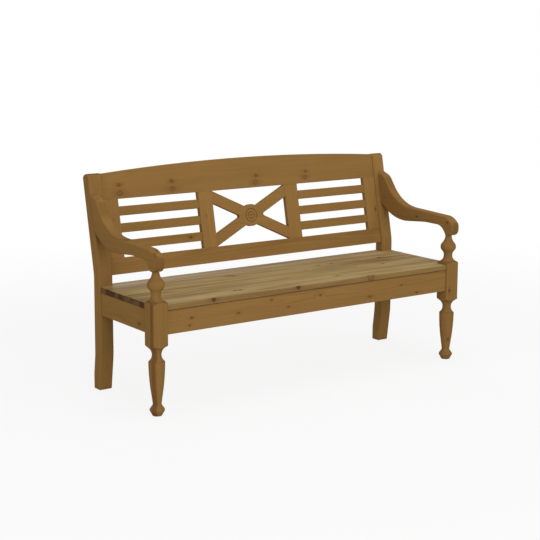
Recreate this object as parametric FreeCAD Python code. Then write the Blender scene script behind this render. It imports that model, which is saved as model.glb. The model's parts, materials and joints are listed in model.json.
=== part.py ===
"""Pine settle bench: turned front legs, scroll arms, plank seat and a raked back with a fretted cross.

Millimetres. X runs along the bench, Y from its front to its back, Z up from the floor. The pieces are laid
out from the front face of the leg blocks, and all are moved together at the end, so that the origin lies
on the floor at the middle of the bench.
"""
import FreeCAD
import Part
import math
import os

V = FreeCAD.Vector

# Whole bench
bench_length = 1600.0          # over the outer faces of the leg blocks
seat_height = 443.0            # floor to the top of the seat
cut_overrun = 5.0              # how far a cutting tool runs past the face that it cuts
joint_clearance = 0.1          # room round a tenon, tongue, dowel or screw
glue_room = 1.0                # room past the end of a tenon or dowel
same_place = 0.01              # points nearer than this are one
same_way = 0.000001            # directions that differ by less are one

# Turned front legs
block_width = 70.0             # the square blank that each leg is turned from
block_arris = 8.0              # rounding of the blank's long corners
blank_reach = 50.0             # the turned ends of the block run out past its corners
hollow_reach = 36.0            # the hollows beside the block are round out to here, and then straight
sole_radius = 18.8
rim_radius = 30.2
rim_low = 21.0
rim_high = 25.5
ankle_radius = 17.7
ankle_low = 44.0
ankle_high = 50.0
waist_radius = 26.3            # the shaft is a straight cone up to here, and then swells
waist_height = 111.0
shaft_radius = 32.8
shaft_top = 206.0
shaft_swell = 1.2              # bulge of the shaft over its waist
shoulder_height = 215.0
cove_radius = 19.0
cove_height = 244.5
cove_under_sweep = 34.0        # radius of the hollow over the shoulder
shoulder_reach = 30.0          # the hollow over the shoulder is round out to here
cove_over_sweep = 37.5         # radius of the hollow under the block
neck_radius = 19.3
neck_low = 481.0
neck_high = 485.0
neck_sweep = 29.0              # radius of the hollow over the block
bulb_radius = 34.8
bulb_height = 521.0
throat_radius = 14.2           # where the leg meets the arm
bulb_under_share = 0.5         # part of the curve under the bulb that is convex
bulb_over_share = 0.32         # part of the curve over the bulb that is convex
leg_tenon_radius = 10.0
leg_tenon_length = 26.0

# Rear posts
post_inset = 10.0              # outer faces inside those of the leg blocks
post_width = 63.0
post_arris = 4.5               # chamfer of the long corners
post_front = 450.0             # front face of the posts at the seat
post_depth = 51.5              # through the raked part, square to it
shin_depth = 53.0              # through the upright part, just above the foot
foot_depth = 44.0
foot_sweep = 21.0              # how far the foot runs back
foot_sweep_height = 150.0
heel_height = 62.0             # the heel is upright to here
knee_height = 497.0            # the post leans back from here
back_rake_degrees = 11.6
post_rise = 416.5              # knee to the top of the post, along the rake
post_crown = 18.0              # rounding of the post's top
knee_sweep = 160.0
foot_curve = 260.0

# Arms
arm_width = 43.0
arm_arris = 4.5                # chamfer round both faces
arm_underside = 574.0          # floor to the flat where the leg enters
arm_overhang = 7.5             # how far the hand stands out past the leg blocks
arm_run = 523.5                # hand to the top of the root
arm_rise = 244.0               # underside to the top of the root
arm_dowel_radius = 5.0
arm_dowel_length = 56.0
arm_dowel_shares = (0.3, 0.68)  # places of the dowels up the root
# Corners of the sawn outline: along and up as shares of run and rise, rounding as a share of run
arm_top_shares = ((0.911, 0.927, 0.086), (0.729, 0.409, 0.405), (0.072, 0.347, 0.162),
                  (0.000, 0.224, 0.053), (0.000, 0.000, 0.057))
arm_under_shares = ((0.095, 0.000, 0.000), (0.146, 0.170, 0.112), (0.360, 0.174, 0.500),
                    (0.778, 0.092, 0.460))
arm_root_share = 0.389         # height of the root's lower end

# Back panel, laid out flat and then leaned with the posts
panel_setback = 9.0            # behind the front face of the posts
panel_thickness = 20.0
panel_lift = 42.5              # clear height between seat and bottom rail
bottom_rail_height = 68.5
crest_end_height = 110.0
crest_rise = 28.0              # how far the crest arches up at its middle
crest_arris = 3.0              # chamfer of the arched edge
stile_width = 68.0
mullion_width = 71.0
slat_count = 3
slat_height = 39.0
slat_gap = 32.0
slat_thickness = 16.0
slat_arris = 1.5
rail_tenon_length = 28.0
rail_tenon_thickness = 9.0
rail_tenon_shoulder = 12.0     # how far a rail's tenon stays inside its edges
stub_tenon_length = 12.0
stub_tenon_thickness = 8.0
stub_tenon_shoulder = 5.0

# Fretted cross in the middle of the back
cross_thickness = 18.0
cross_bar_rise = 54.0          # height of a bar where it meets the mullion
cross_fork_radius = 7.5        # rounding in the forks at left and right
rosette_radius = 49.0
ring_radius = 29.0
ring_width = 4.4
ring_depth = 2.0
eye_ring_radius = 15.5
eye_ring_width = 3.4
eye_ring_depth = 1.5
button_radius = 4.0
button_depth = 1.4

# Seat
seat_thickness = 25.0
seat_setback = 7.0             # front edge behind the leg blocks
seat_back_reach = 42.0         # how far the seat runs back between the posts
seat_end_inset = 16.0          # ends inside the outer faces of the leg blocks
seat_board_count = 4
seat_arris = 3.0
notch_clearance = 1.0          # round the leg blocks
tongue_length = 6.0
tongue_thickness = 8.0

# Aprons and what braces them under the seat
apron_height = 94.5
apron_thickness = 22.0
apron_setback = 10.0           # front apron behind the leg blocks
side_apron_inset = 7.0         # side aprons inside the outer faces of the posts
rear_apron_setback = 18.0      # rear apron behind the front faces of the posts
apron_arris = 2.0
apron_tenon_length = 30.0
apron_tenon_thickness = 10.0
apron_tenon_shoulder = 10.0
bearer_count = 3
bearer_width = 45.0
bearer_height = 24.0
bearer_spacing = 480.0
housing_depth = 8.0            # how far a bearer goes into each apron
brace_thickness = 24.0
brace_height = 60.0

# Screws
screw_radius = 2.2
screw_head_radius = 4.4
screw_head_height = 2.6
bearer_screw_length = 40.0
bolt_radius = 4.0              # lag screws through the corner braces
bolt_length = 62.0
bolt_head_radius = 7.5
bolt_head_height = 5.5
bolt_head_sides = 6

# Places worked out from the sizes above
half_length = bench_length / 2
post_outer = half_length - post_inset
post_inner = post_outer - post_width
leg_axis_x = half_length - block_width / 2
leg_axis_y = block_width / 2
arm_outer = post_outer         # the arms are flush with the posts
seat_underside = seat_height - seat_thickness
apron_bottom = seat_underside - apron_height
rake = math.radians(back_rake_degrees)
opening_height = slat_count * slat_height + (slat_count + 1) * slat_gap
panel_bottom = (seat_height + panel_lift - knee_height + panel_setback * math.sin(rake)) / math.cos(rake)
opening_bottom = panel_bottom + bottom_rail_height
opening_top = opening_bottom + opening_height
opening_width = (2 * post_inner - 2 * stile_width - 2 * mullion_width) / 3
panel_middle = panel_setback + panel_thickness / 2
seat_back = post_front + seat_back_reach
rear_apron_front = post_front + rear_apron_setback
side_apron_outer = post_outer - side_apron_inset
side_apron_inner = side_apron_outer - apron_thickness
front_apron_back = apron_setback + apron_thickness
block_inner = half_length - block_width


# Shape helpers

def box(x, y, z):
    """A block from three (low, high) pairs."""
    return Part.makeBox(x[1] - x[0], y[1] - y[0], z[1] - z[0], V(x[0], y[0], z[0]))


def grown(x, y, z, ends):
    """The room for a tenon: the block made larger all round, and longer by the glue room along one axis."""
    pairs = [(low - joint_clearance, high + joint_clearance) for low, high in (x, y, z)]
    low, high = pairs[ends]
    pairs[ends] = (low - glue_room, high + glue_room)
    return box(*pairs)


def arc(start, end, bulge):
    """An arc between two points whose middle stands off the straight line by the bulge."""
    chord = end - start
    normal = V(-chord.z, chord.y, chord.x).normalize() if chord.y == 0 else V(0, -chord.z, chord.y).normalize()
    return Part.Arc(start, (start + end) / 2 + normal * bulge, end).toShape()


def line(start, end):
    return Part.LineSegment(start, end).toShape()


def rounded_wire(corners):
    """A closed wire through (point, radius) corners, with tangent arcs that are limited by their sides."""
    count = len(corners)
    reach = []
    for i, (here, radius) in enumerate(corners):
        to_last = corners[i - 1][0] - here
        to_next = corners[(i + 1) % count][0] - here
        half_angle = to_last.getAngle(to_next) / 2
        reach.append(radius / math.tan(half_angle) if radius else 0)
    limit = [1.0] * count
    for i in range(count):
        j = (i + 1) % count
        side = (corners[j][0] - corners[i][0]).Length
        if reach[i] + reach[j] > side:
            fit = side / (reach[i] + reach[j])
            limit[i] = min(limit[i], fit)
            limit[j] = min(limit[j], fit)
    edges = []
    joins = []
    for i, (here, radius) in enumerate(corners):
        to_last = (corners[i - 1][0] - here).normalize()
        to_next = (corners[(i + 1) % count][0] - here).normalize()
        run = reach[i] * limit[i]
        if run == 0:
            joins.append((here, here))
            continue
        half_angle = to_last.getAngle(to_next) / 2
        centre = here + (to_last + to_next).normalize() * (run / math.cos(half_angle))
        middle = centre + (here - centre).normalize() * (run * math.tan(half_angle))
        joins.append((here + to_last * run, here + to_next * run))
        edges.append((i, Part.Arc(joins[i][0], middle, joins[i][1]).toShape()))
    arcs = dict(edges)
    ordered = []
    for i in range(count):
        if i in arcs:
            ordered.append(arcs[i])
        start, end = joins[i][1], joins[(i + 1) % count][0]
        if (end - start).Length > same_place:
            ordered.append(line(start, end))
    return Part.Wire(ordered)


def slab(wire, direction, length):
    """The wire filled and carried along a direction."""
    return Part.Face(wire).extrude(direction * length)


def eased(shape, radius, chosen):
    """The shape with the edges that the test picks rounded."""
    edges = [edge for edge in shape.Edges if chosen(edge)]
    return shape.makeFillet(radius, edges)


def chamfered(shape, size, chosen):
    """The shape with the edges that the test picks chamfered."""
    return shape.makeChamfer(size, [edge for edge in shape.Edges if chosen(edge)])


def runs_along(edge, axis):
    """Whether a straight edge runs along X, Y or Z, given as 0, 1 or 2."""
    if edge.Curve.TypeId != "Part::GeomLine":
        return False
    way = edge.tangentAt(edge.FirstParameter)
    return abs(abs(way[axis]) - 1) < same_way


def lies_at(edge, axis, place):
    """Whether all of an edge lies in one plane across an axis."""
    bounds = edge.BoundBox
    low = (bounds.XMin, bounds.YMin, bounds.ZMin)[axis]
    high = (bounds.XMax, bounds.YMax, bounds.ZMax)[axis]
    return abs(low - place) < same_place and abs(high - place) < same_place


def leaned(shape):
    """A piece of the flat back panel, leaned back about the posts' knees."""
    placed = shape.copy()
    placed.rotate(V(0, 0, 0), V(1, 0, 0), -back_rake_degrees)
    placed.translate(V(0, post_front, knee_height))
    return placed


def on_rake(forward, up):
    """The place in the bench of a point given behind the posts' front line and up along it."""
    return V(0, post_front + forward * math.cos(rake) + up * math.sin(rake),
             knee_height - forward * math.sin(rake) + up * math.cos(rake))


def mirrored(shape):
    return shape.mirror(V(0, 0, 0), V(1, 0, 0))


def turned(edges, axis_x, axis_y):
    """A solid turned about an upright axis from edges drawn in the XZ plane."""
    solid = Part.makeSolid(Part.Face(Part.Wire(edges)).revolve(V(0, 0, 0), V(0, 0, 1), 360))
    solid.translate(V(axis_x, axis_y, 0))
    return solid


def ogee(low_radius, low, high_radius, high, low_share):
    """Two arcs that leave both ends upright and meet smoothly, the lower with its share of the curve."""
    step = high_radius - low_radius
    rise = high - low
    turn = 2 * math.atan(abs(step) / rise)
    total = rise / math.sin(turn)
    way = math.copysign(1, step)
    arcs = []
    for radius, height, sweep, side, up in ((low_radius, low, total * low_share, way, 1),
                                            (high_radius, high, total * (1 - low_share), -way, -1)):
        points = [V(radius + side * sweep * (1 - math.cos(angle)), 0, height + up * sweep * math.sin(angle))
                  for angle in (0, turn / 2, turn)]
        arcs.append(points)
    upper = arcs[1][::-1]
    return [Part.Arc(*arcs[0]).toShape(), Part.Arc(*upper).toShape()]


def hollow(neck, height, sweep, round_to, far, up):
    """A hollow beside a neck: an arc that leaves it upright, and a straight line on out to the far radius."""
    turn = math.acos(1 - (round_to - neck) / sweep)
    points = [V(neck + sweep * (1 - math.cos(angle)), 0, height + up * sweep * math.sin(angle))
              for angle in (0, turn / 2, turn)]
    end = points[-1] + V(1, 0, up / math.tan(turn)) * (far - round_to)
    if up < 0:
        return [line(end, points[-1]), Part.Arc(*points[::-1]).toShape()]
    return [Part.Arc(*points).toShape(), line(points[-1], end)]


def screw(head, way, length):
    """A countersunk wood screw whose head's face is at a point and whose shank runs along a direction."""
    outline = [V(0, 0, 0), V(screw_head_radius, 0, 0), V(screw_radius, 0, screw_head_height),
               V(screw_radius, 0, length), V(0, 0, length), V(0, 0, 0)]
    edges = [line(a, b) for a, b in zip(outline, outline[1:])]
    return aimed(Part.makeSolid(Part.Face(Part.Wire(edges)).revolve(V(0, 0, 0), V(0, 0, 1), 360)), head, way)


def screw_room(head, way, length):
    """The hole that a screw fills, with its countersink."""
    wide = joint_clearance
    outline = [V(0, 0, 0), V(screw_head_radius + wide, 0, 0), V(screw_radius + wide, 0, screw_head_height),
               V(screw_radius + wide, 0, length + glue_room), V(0, 0, length + glue_room), V(0, 0, 0)]
    edges = [line(a, b) for a, b in zip(outline, outline[1:])]
    return aimed(Part.makeSolid(Part.Face(Part.Wire(edges)).revolve(V(0, 0, 0), V(0, 0, 1), 360)), head, way)


def aimed(shape, place, way):
    """An upright shape turned to point along a direction and moved to a place."""
    turn = FreeCAD.Rotation(V(0, 0, 1), way)
    shape.Placement = FreeCAD.Placement(place, turn)
    return shape


def less(shape, tools):
    """The shape with every tool cut from it."""
    return shape.cut(Part.makeCompound(tools)) if tools else shape


# Turned front legs

def leg_profile():
    """Half of the leg's outline, from the middle of its sole up to the end of its tenon."""
    tenon_top = arm_underside + leg_tenon_length
    foot = [V(0, 0, 0), V(sole_radius, 0, 0), V(rim_radius, 0, rim_low), V(rim_radius, 0, rim_high),
            V(ankle_radius, 0, ankle_low), V(ankle_radius, 0, ankle_high), V(waist_radius, 0, waist_height)]
    shaft_end = V(shaft_radius, 0, shaft_top)
    shoulder = V(shaft_radius, 0, shoulder_height)
    under_cove = hollow(cove_radius, cove_height, cove_under_sweep, shoulder_reach, shaft_radius, -1)
    over_cove = hollow(cove_radius, cove_height, cove_over_sweep, hollow_reach, blank_reach, 1)
    under_neck = hollow(neck_radius, neck_low, neck_sweep, hollow_reach, blank_reach, -1)
    edges = [line(a, b) for a, b in zip(foot, foot[1:])]
    edges += [arc(foot[-1], shaft_end, -shaft_swell), line(shaft_end, shoulder)]
    edges += [line(shoulder, under_cove[0].Vertexes[0].Point)] + under_cove + over_cove
    edges += [line(over_cove[-1].Vertexes[-1].Point, under_neck[0].Vertexes[0].Point)] + under_neck
    edges.append(line(V(neck_radius, 0, neck_low), V(neck_radius, 0, neck_high)))
    edges += ogee(neck_radius, neck_high, bulb_radius, bulb_height, 1 - bulb_under_share)
    edges += ogee(bulb_radius, bulb_height, throat_radius, arm_underside, bulb_over_share)
    tenon = [V(throat_radius, 0, arm_underside), V(leg_tenon_radius, 0, arm_underside),
             V(leg_tenon_radius, 0, tenon_top), V(0, 0, tenon_top), V(0, 0, 0)]
    return edges + [line(a, b) for a, b in zip(tenon, tenon[1:])]


def front_leg():
    """The right leg: a square blank with rounded corners, turned everywhere but at its block."""
    half = block_width / 2
    blank = box((-half, half), (-half, half), (0, arm_underside + leg_tenon_length))
    blank = eased(blank, block_arris, lambda edge: runs_along(edge, 2))
    leg = turned(leg_profile(), 0, 0).common(blank)
    leg.translate(V(leg_axis_x, leg_axis_y, 0))
    return leg


# Rear posts

def post_outline():
    """The post seen from the side, as corners with their roundings."""
    foot_front = post_front + foot_sweep
    heel = foot_front + foot_depth
    shin_back = post_front + shin_depth
    back_line = on_rake(post_depth, 0)
    top_front = on_rake(0, post_rise)
    top_back = on_rake(post_depth, post_rise)
    return [(V(0, foot_front, 0), 0), (V(0, post_front, foot_sweep_height), foot_curve),
            (V(0, post_front, knee_height), knee_sweep), (top_front, post_crown), (top_back, post_crown),
            (back_line, knee_sweep), (V(0, shin_back, foot_sweep_height), foot_curve),
            (V(0, heel, heel_height), foot_curve / 2), (V(0, heel, 0), 0)]


def rear_post():
    """The right post, sawn to its bent outline, with all its arrises eased."""
    post = slab(rounded_wire(post_outline()), V(1, 0, 0), post_width)
    post.translate(V(post_inner, 0, 0))
    return chamfered(post, post_arris, lambda edge: lies_at(edge, 0, post_inner) or lies_at(edge, 0, post_outer))


# Arms

def arm_point(along_share, up_share):
    return V(0, along_share * arm_run - arm_overhang, arm_underside + up_share * arm_rise)


def on_post_front(height):
    """The point of the posts' raked front line at a height."""
    return on_rake(0, (height - knee_height) / math.cos(rake))


def arm_outline():
    """The arm seen from the side: over the top from its root to the hand, and back underneath."""
    corners = [(on_post_front(arm_underside + arm_rise), 0)]
    for along_share, up_share, radius_share in arm_top_shares + arm_under_shares:
        corners.append((arm_point(along_share, up_share), radius_share * arm_run))
    corners.append((on_post_front(arm_underside + arm_root_share * arm_rise), 0))
    return corners


def arm_dowel_places():
    """Where the two dowels of a root cross the post's front face."""
    heights = [arm_underside + arm_rise * (arm_root_share + (1 - arm_root_share) * share)
               for share in arm_dowel_shares]
    return [on_post_front(height) for height in heights]


def arm_dowels(side, room):
    """The dowels of one arm, or the holes for them."""
    back = V(0, math.cos(rake), -math.sin(rake))
    middle = V(side * (arm_outer - arm_width / 2), 0, 0)
    length = arm_dowel_length + 2 * glue_room * room
    radius = arm_dowel_radius + joint_clearance * room
    return [Part.makeCylinder(radius, length, place + middle - back * (length / 2), back)
            for place in arm_dowel_places()]


def arm():
    """The right arm, bored for the leg's tenon and for the dowels in its root."""
    body = slab(rounded_wire(arm_outline()), V(1, 0, 0), arm_width)
    body.translate(V(arm_outer - arm_width, 0, 0))
    root = on_post_front(arm_underside + arm_rise)
    root_line = root - on_post_front(arm_underside)

    def is_arris(edge):
        if not (lies_at(edge, 0, arm_outer) or lies_at(edge, 0, arm_outer - arm_width)):
            return False
        ends = [vertex.Point for vertex in edge.Vertexes]
        off_root = [abs((point - root).cross(root_line).x) / root_line.Length for point in ends]
        return max(off_root) > same_place

    body = chamfered(body, arm_arris, is_arris)
    socket = Part.makeCylinder(leg_tenon_radius + joint_clearance, leg_tenon_length + glue_room + cut_overrun,
                               V(leg_axis_x, leg_axis_y, arm_underside - cut_overrun))
    return less(body, [socket] + arm_dowels(1, 1))


# Back panel

def panel_box(x, up, thickness):
    """A member of the flat panel, centred in the panel's thickness."""
    return box(x, (panel_middle - thickness / 2, panel_middle + thickness / 2), up)


def panel_room(x, up, thickness, ends):
    return grown(x, (panel_middle - thickness / 2, panel_middle + thickness / 2), up, ends)


def rail_tenons(low, high):
    """The span of a rail's tenons in X, and up the panel."""
    return (post_inner, post_inner + rail_tenon_length), (low + rail_tenon_shoulder, high - rail_tenon_shoulder)


def slat_spans():
    """The low and high edge of each slat."""
    pitch = slat_height + slat_gap
    first = opening_bottom + slat_gap
    return [(first + i * pitch, first + i * pitch + slat_height) for i in range(slat_count)]


def upright_spans():
    """The X spans of the right mullion and the right stile."""
    mullion = (opening_width / 2, opening_width / 2 + mullion_width)
    return mullion, (post_inner - stile_width, post_inner)


def stub_up(span):
    """The span in X of the stub tenons at the ends of an upright."""
    return span[0] + stub_tenon_shoulder, span[1] - stub_tenon_shoulder


def upright_mortises():
    """The mortises of the two rails for the stub tenons of the four uprights."""
    made = []
    for span in upright_spans():
        low, high = stub_up(span)
        for x in ((low, high), (-high, -low)):
            for up in ((opening_bottom - stub_tenon_length, opening_bottom),
                       (opening_top, opening_top + stub_tenon_length)):
                made.append(panel_room(x, up, stub_tenon_thickness, 2))
    return made


def crest_rail():
    """The arched top rail with a tenon at each end."""
    end_top = opening_top + crest_end_height
    wire = Part.Wire([line(V(-post_inner, 0, opening_top), V(post_inner, 0, opening_top)),
                      line(V(post_inner, 0, opening_top), V(post_inner, 0, end_top)),
                      Part.Arc(V(post_inner, 0, end_top), V(0, 0, end_top + crest_rise),
                               V(-post_inner, 0, end_top)).toShape(),
                      line(V(-post_inner, 0, end_top), V(-post_inner, 0, opening_top))])
    rail = slab(wire, V(0, 1, 0), panel_thickness)
    rail.translate(V(0, panel_setback, 0))
    rail = chamfered(rail, crest_arris, lambda edge: edge.Curve.TypeId == "Part::GeomCircle")
    x, up = rail_tenons(opening_top, end_top)
    tenons = [panel_box(span, up, rail_tenon_thickness) for span in (x, (-x[1], -x[0]))]
    return less(rail.fuse(tenons), upright_mortises())


def bottom_rail():
    rail = panel_box((-post_inner, post_inner), (panel_bottom, opening_bottom), panel_thickness)
    rail = eased(rail, slat_arris, lambda edge: runs_along(edge, 0) and lies_at(edge, 2, panel_bottom))
    x, up = rail_tenons(panel_bottom, opening_bottom)
    tenons = [panel_box(span, up, rail_tenon_thickness) for span in (x, (-x[1], -x[0]))]
    return less(rail.fuse(tenons), upright_mortises())


def rail_mortises():
    """The rooms in the right post for the two rails' tenons."""
    spans = [rail_tenons(panel_bottom, opening_bottom), rail_tenons(opening_top, opening_top + crest_end_height)]
    return [leaned(panel_room((x[0] - cut_overrun, x[1]), up, rail_tenon_thickness, 0)) for x, up in spans]


def slat_rooms():
    """Mortises for the slats' stub tenons, in the right mullion and the right stile."""
    mullion, stile = upright_spans()
    rooms = []
    for low, high in slat_spans():
        up = (low + stub_tenon_shoulder, high - stub_tenon_shoulder)
        rooms.append(panel_room((mullion[1] - stub_tenon_length, mullion[1]), up, stub_tenon_thickness, 0))
        rooms.append(panel_room((stile[0], stile[0] + stub_tenon_length), up, stub_tenon_thickness, 0))
    return rooms


def cross_tenon_spans():
    """Where a bar of the cross ends, up the panel: the high one and the low one."""
    high = (opening_top - cross_bar_rise + stub_tenon_shoulder, opening_top - stub_tenon_shoulder)
    low = (opening_bottom + stub_tenon_shoulder, opening_bottom + cross_bar_rise - stub_tenon_shoulder)
    return high, low


def upright(span, rooms):
    """A stile or mullion with its stub tenons, and rooms cut for what it holds."""
    body = panel_box(span, (opening_bottom, opening_top), panel_thickness)
    low, high = stub_up(span)
    tenon = panel_box((low, high), (opening_bottom - stub_tenon_length, opening_top + stub_tenon_length),
                      stub_tenon_thickness)
    return less(body.fuse(tenon).removeSplitter(), rooms)


def mullion_rooms():
    """All mortises of the right mullion."""
    inner = opening_width / 2
    return slat_rooms() + [panel_room((inner, inner + stub_tenon_length), up, stub_tenon_thickness, 0)
                           for up in cross_tenon_spans()]


def slat(low, high):
    """A right-hand slat with a stub tenon at each end."""
    mullion, stile = upright_spans()
    x = (mullion[1], stile[0])
    body = panel_box(x, (low, high), slat_thickness)
    body = eased(body, slat_arris, lambda edge: runs_along(edge, 0))
    tenon = panel_box((x[0] - stub_tenon_length, x[1] + stub_tenon_length),
                      (low + stub_tenon_shoulder, high - stub_tenon_shoulder), stub_tenon_thickness)
    return body.fuse(tenon).removeSplitter()


def cross_board():
    """The fretted cross: four bars that spread from a round centre into the corners of the opening."""
    half_width = opening_width / 2
    half_height = opening_height / 2
    inner = half_height - cross_bar_rise
    slope = (half_height - cross_bar_rise / 2) / half_width
    crotch = half_height - slope * half_width
    fork = half_width - inner / slope
    quarter = [(V(half_width, 0, half_height), 0), (V(half_width, 0, inner), 0)]
    right = quarter + [(V(fork, 0, 0), cross_fork_radius)]
    right += [(V(half_width, 0, -inner), 0), (V(half_width, 0, -half_height), 0)]
    left = [(V(-point.x, 0, point.z), radius) for point, radius in reversed(right)]
    corners = right + [(V(0, 0, -crotch), 0)] + left + [(V(0, 0, crotch), 0)]
    board = slab(rounded_wire(corners), V(0, 1, 0), cross_thickness)
    disc = Part.makeCylinder(rosette_radius, cross_thickness, V(0, 0, 0), V(0, 1, 0))
    board = board.fuse(disc).removeSplitter()
    board.translate(V(0, panel_middle - cross_thickness / 2, (opening_bottom + opening_top) / 2))
    tenons = []
    for up in cross_tenon_spans():
        for side in (1, -1):
            x = sorted((side * half_width, side * (half_width + stub_tenon_length)))
            tenons.append(panel_box(x, up, stub_tenon_thickness))
    return less(board.fuse(tenons), rosette_carving())


def ring_groove(radius, width, depth):
    """A ring of V section to cut into the front of the cross."""
    face_y = panel_middle - cross_thickness / 2
    over = V(0, -cut_overrun, 0)
    inner = V(radius - width / 2, face_y, 0)
    outer = V(radius + width / 2, face_y, 0)
    corners = [inner, V(radius, face_y + depth, 0), outer, outer + over, inner + over, inner]
    ring = Part.makeSolid(Part.Face(Part.makePolygon(corners)).revolve(V(0, 0, 0), V(0, 1, 0), 360))
    ring.translate(V(0, 0, (opening_bottom + opening_top) / 2))
    return ring


def rosette_carving():
    """The two rings and the small dished button at the middle of the cross."""
    face_y = panel_middle - cross_thickness / 2
    ball_radius = (button_radius ** 2 + button_depth ** 2) / (2 * button_depth)
    button = Part.makeSphere(ball_radius, V(0, face_y + button_depth - ball_radius,
                                            (opening_bottom + opening_top) / 2))
    return [ring_groove(ring_radius, ring_width, ring_depth),
            ring_groove(eye_ring_radius, eye_ring_width, eye_ring_depth), button]


# Aprons and braces

def tenon_heights():
    return apron_bottom + apron_tenon_shoulder, seat_underside - apron_tenon_shoulder


def front_apron_parts(room):
    """The right tenon of the front apron, or its mortise."""
    middle = apron_setback + apron_thickness / 2
    y = (middle - apron_tenon_thickness / 2, middle + apron_tenon_thickness / 2)
    if room:
        return grown((block_inner - cut_overrun, block_inner + apron_tenon_length), y, tenon_heights(), 0)
    return box((block_inner, block_inner + apron_tenon_length), y, tenon_heights())


def rear_apron_parts(room):
    """The right tenon of the rear apron, or its mortise."""
    middle = rear_apron_front + apron_thickness / 2
    y = (middle - apron_tenon_thickness / 2, middle + apron_tenon_thickness / 2)
    if room:
        return grown((post_inner - cut_overrun, post_inner + apron_tenon_length), y, tenon_heights(), 0)
    return box((post_inner, post_inner + apron_tenon_length), y, tenon_heights())


def side_apron_parts(room):
    """The front and rear tenons of the right side apron, or their mortises."""
    middle = side_apron_outer - apron_thickness / 2
    x = (middle - apron_tenon_thickness / 2, middle + apron_tenon_thickness / 2)
    front = (block_width - apron_tenon_length, block_width)
    rear = (post_front, post_front + apron_tenon_length)
    if room:
        return [grown(x, (front[0], front[1] + cut_overrun), tenon_heights(), 1),
                grown(x, (rear[0] - cut_overrun, rear[1]), tenon_heights(), 1)]
    return [box(x, front, tenon_heights()), box(x, rear, tenon_heights())]


def eased_bottom(apron, axis):
    """The apron with its two lower arrises rounded."""
    return eased(apron, apron_arris, lambda edge: runs_along(edge, axis) and lies_at(edge, 2, apron_bottom))


def front_apron():
    apron = box((-block_inner, block_inner), (apron_setback, front_apron_back), (apron_bottom, seat_underside))
    tenon = front_apron_parts(False)
    return less(eased_bottom(apron, 0).fuse([tenon, mirrored(tenon)]), bearer_housings())


def rear_apron():
    apron = box((-post_inner, post_inner), (rear_apron_front, rear_apron_front + apron_thickness),
                (apron_bottom, seat_underside))
    tenon = rear_apron_parts(False)
    return less(eased_bottom(apron, 0).fuse([tenon, mirrored(tenon)]), bearer_housings())


def side_apron():
    apron = box((side_apron_inner, side_apron_outer), (block_width, post_front), (apron_bottom, seat_underside))
    return eased_bottom(apron, 1).fuse(side_apron_parts(False))


def bearer_places():
    first = -bearer_spacing * (bearer_count - 1) / 2
    return [first + i * bearer_spacing for i in range(bearer_count)]


def bearer(place):
    """A batten across the underside of the seat, whose ends are housed in the front and rear aprons."""
    half = bearer_width / 2
    return box((place - half, place + half),
               (front_apron_back - housing_depth, rear_apron_front + housing_depth),
               (seat_underside - bearer_height, seat_underside))


def bearer_housings():
    """The rooms for all bearers, open at the top of the aprons."""
    half = bearer_width / 2 + joint_clearance
    y = (front_apron_back - housing_depth - joint_clearance, rear_apron_front + housing_depth + joint_clearance)
    z = (seat_underside - bearer_height - joint_clearance, seat_underside + cut_overrun)
    return [box((place - half, place + half), y, z) for place in bearer_places()]


def brace_line(at_front):
    """The ends of a right-hand brace's outer face, which just clears the corner of the leg or post."""
    if at_front:
        reach = side_apron_inner - block_inner + block_width - front_apron_back
        return V(side_apron_inner - reach, front_apron_back, 0), V(side_apron_inner, front_apron_back + reach, 0)
    reach = side_apron_inner - post_inner + rear_apron_setback
    return V(side_apron_inner - reach, rear_apron_front, 0), V(side_apron_inner, rear_apron_front - reach, 0)


def brace(at_front):
    """A mitred brace across the right front or rear corner of the seat frame."""
    start, end = brace_line(at_front)
    mitre = brace_thickness * math.sqrt(2)
    way = math.copysign(1, end.y - start.y)
    points = [start, start - V(mitre, 0, 0), end + V(0, way * mitre, 0), end]
    body = Part.Face(Part.makePolygon(points + points[:1])).extrude(V(0, 0, brace_height))
    body.translate(V(0, 0, seat_underside - bearer_height - brace_height))
    return body


def brace_bolt_place(at_front):
    """Where the head of a right-hand brace's lag screw sits, and the way that the screw runs."""
    start, end = brace_line(at_front)
    inward = V(1, -math.copysign(1, end.y - start.y), 0).normalize()
    middle = (start + end) / 2 - inward * brace_thickness
    middle.z = seat_underside - bearer_height - brace_height / 2
    return middle, inward


def brace_bolt(place, way):
    """A lag screw with a six-sided head, which bears on the brace."""
    turns = [2 * math.pi * i / bolt_head_sides for i in range(bolt_head_sides + 1)]
    corners = [V(bolt_head_radius * math.cos(turn), bolt_head_radius * math.sin(turn), -bolt_head_height)
               for turn in turns]
    head = Part.Face(Part.makePolygon(corners)).extrude(V(0, 0, bolt_head_height))
    return aimed(head.fuse(Part.makeCylinder(bolt_radius, bolt_length)).removeSplitter(), place, way)


def bolt_room(place, way):
    """The hole that a lag screw fills."""
    return aimed(Part.makeCylinder(bolt_radius + joint_clearance, bolt_length + glue_room), place, way)


# Seat

def seat_board_edges():
    depth = (seat_back - seat_setback) / seat_board_count
    return [seat_setback + i * depth for i in range(seat_board_count + 1)]


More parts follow.
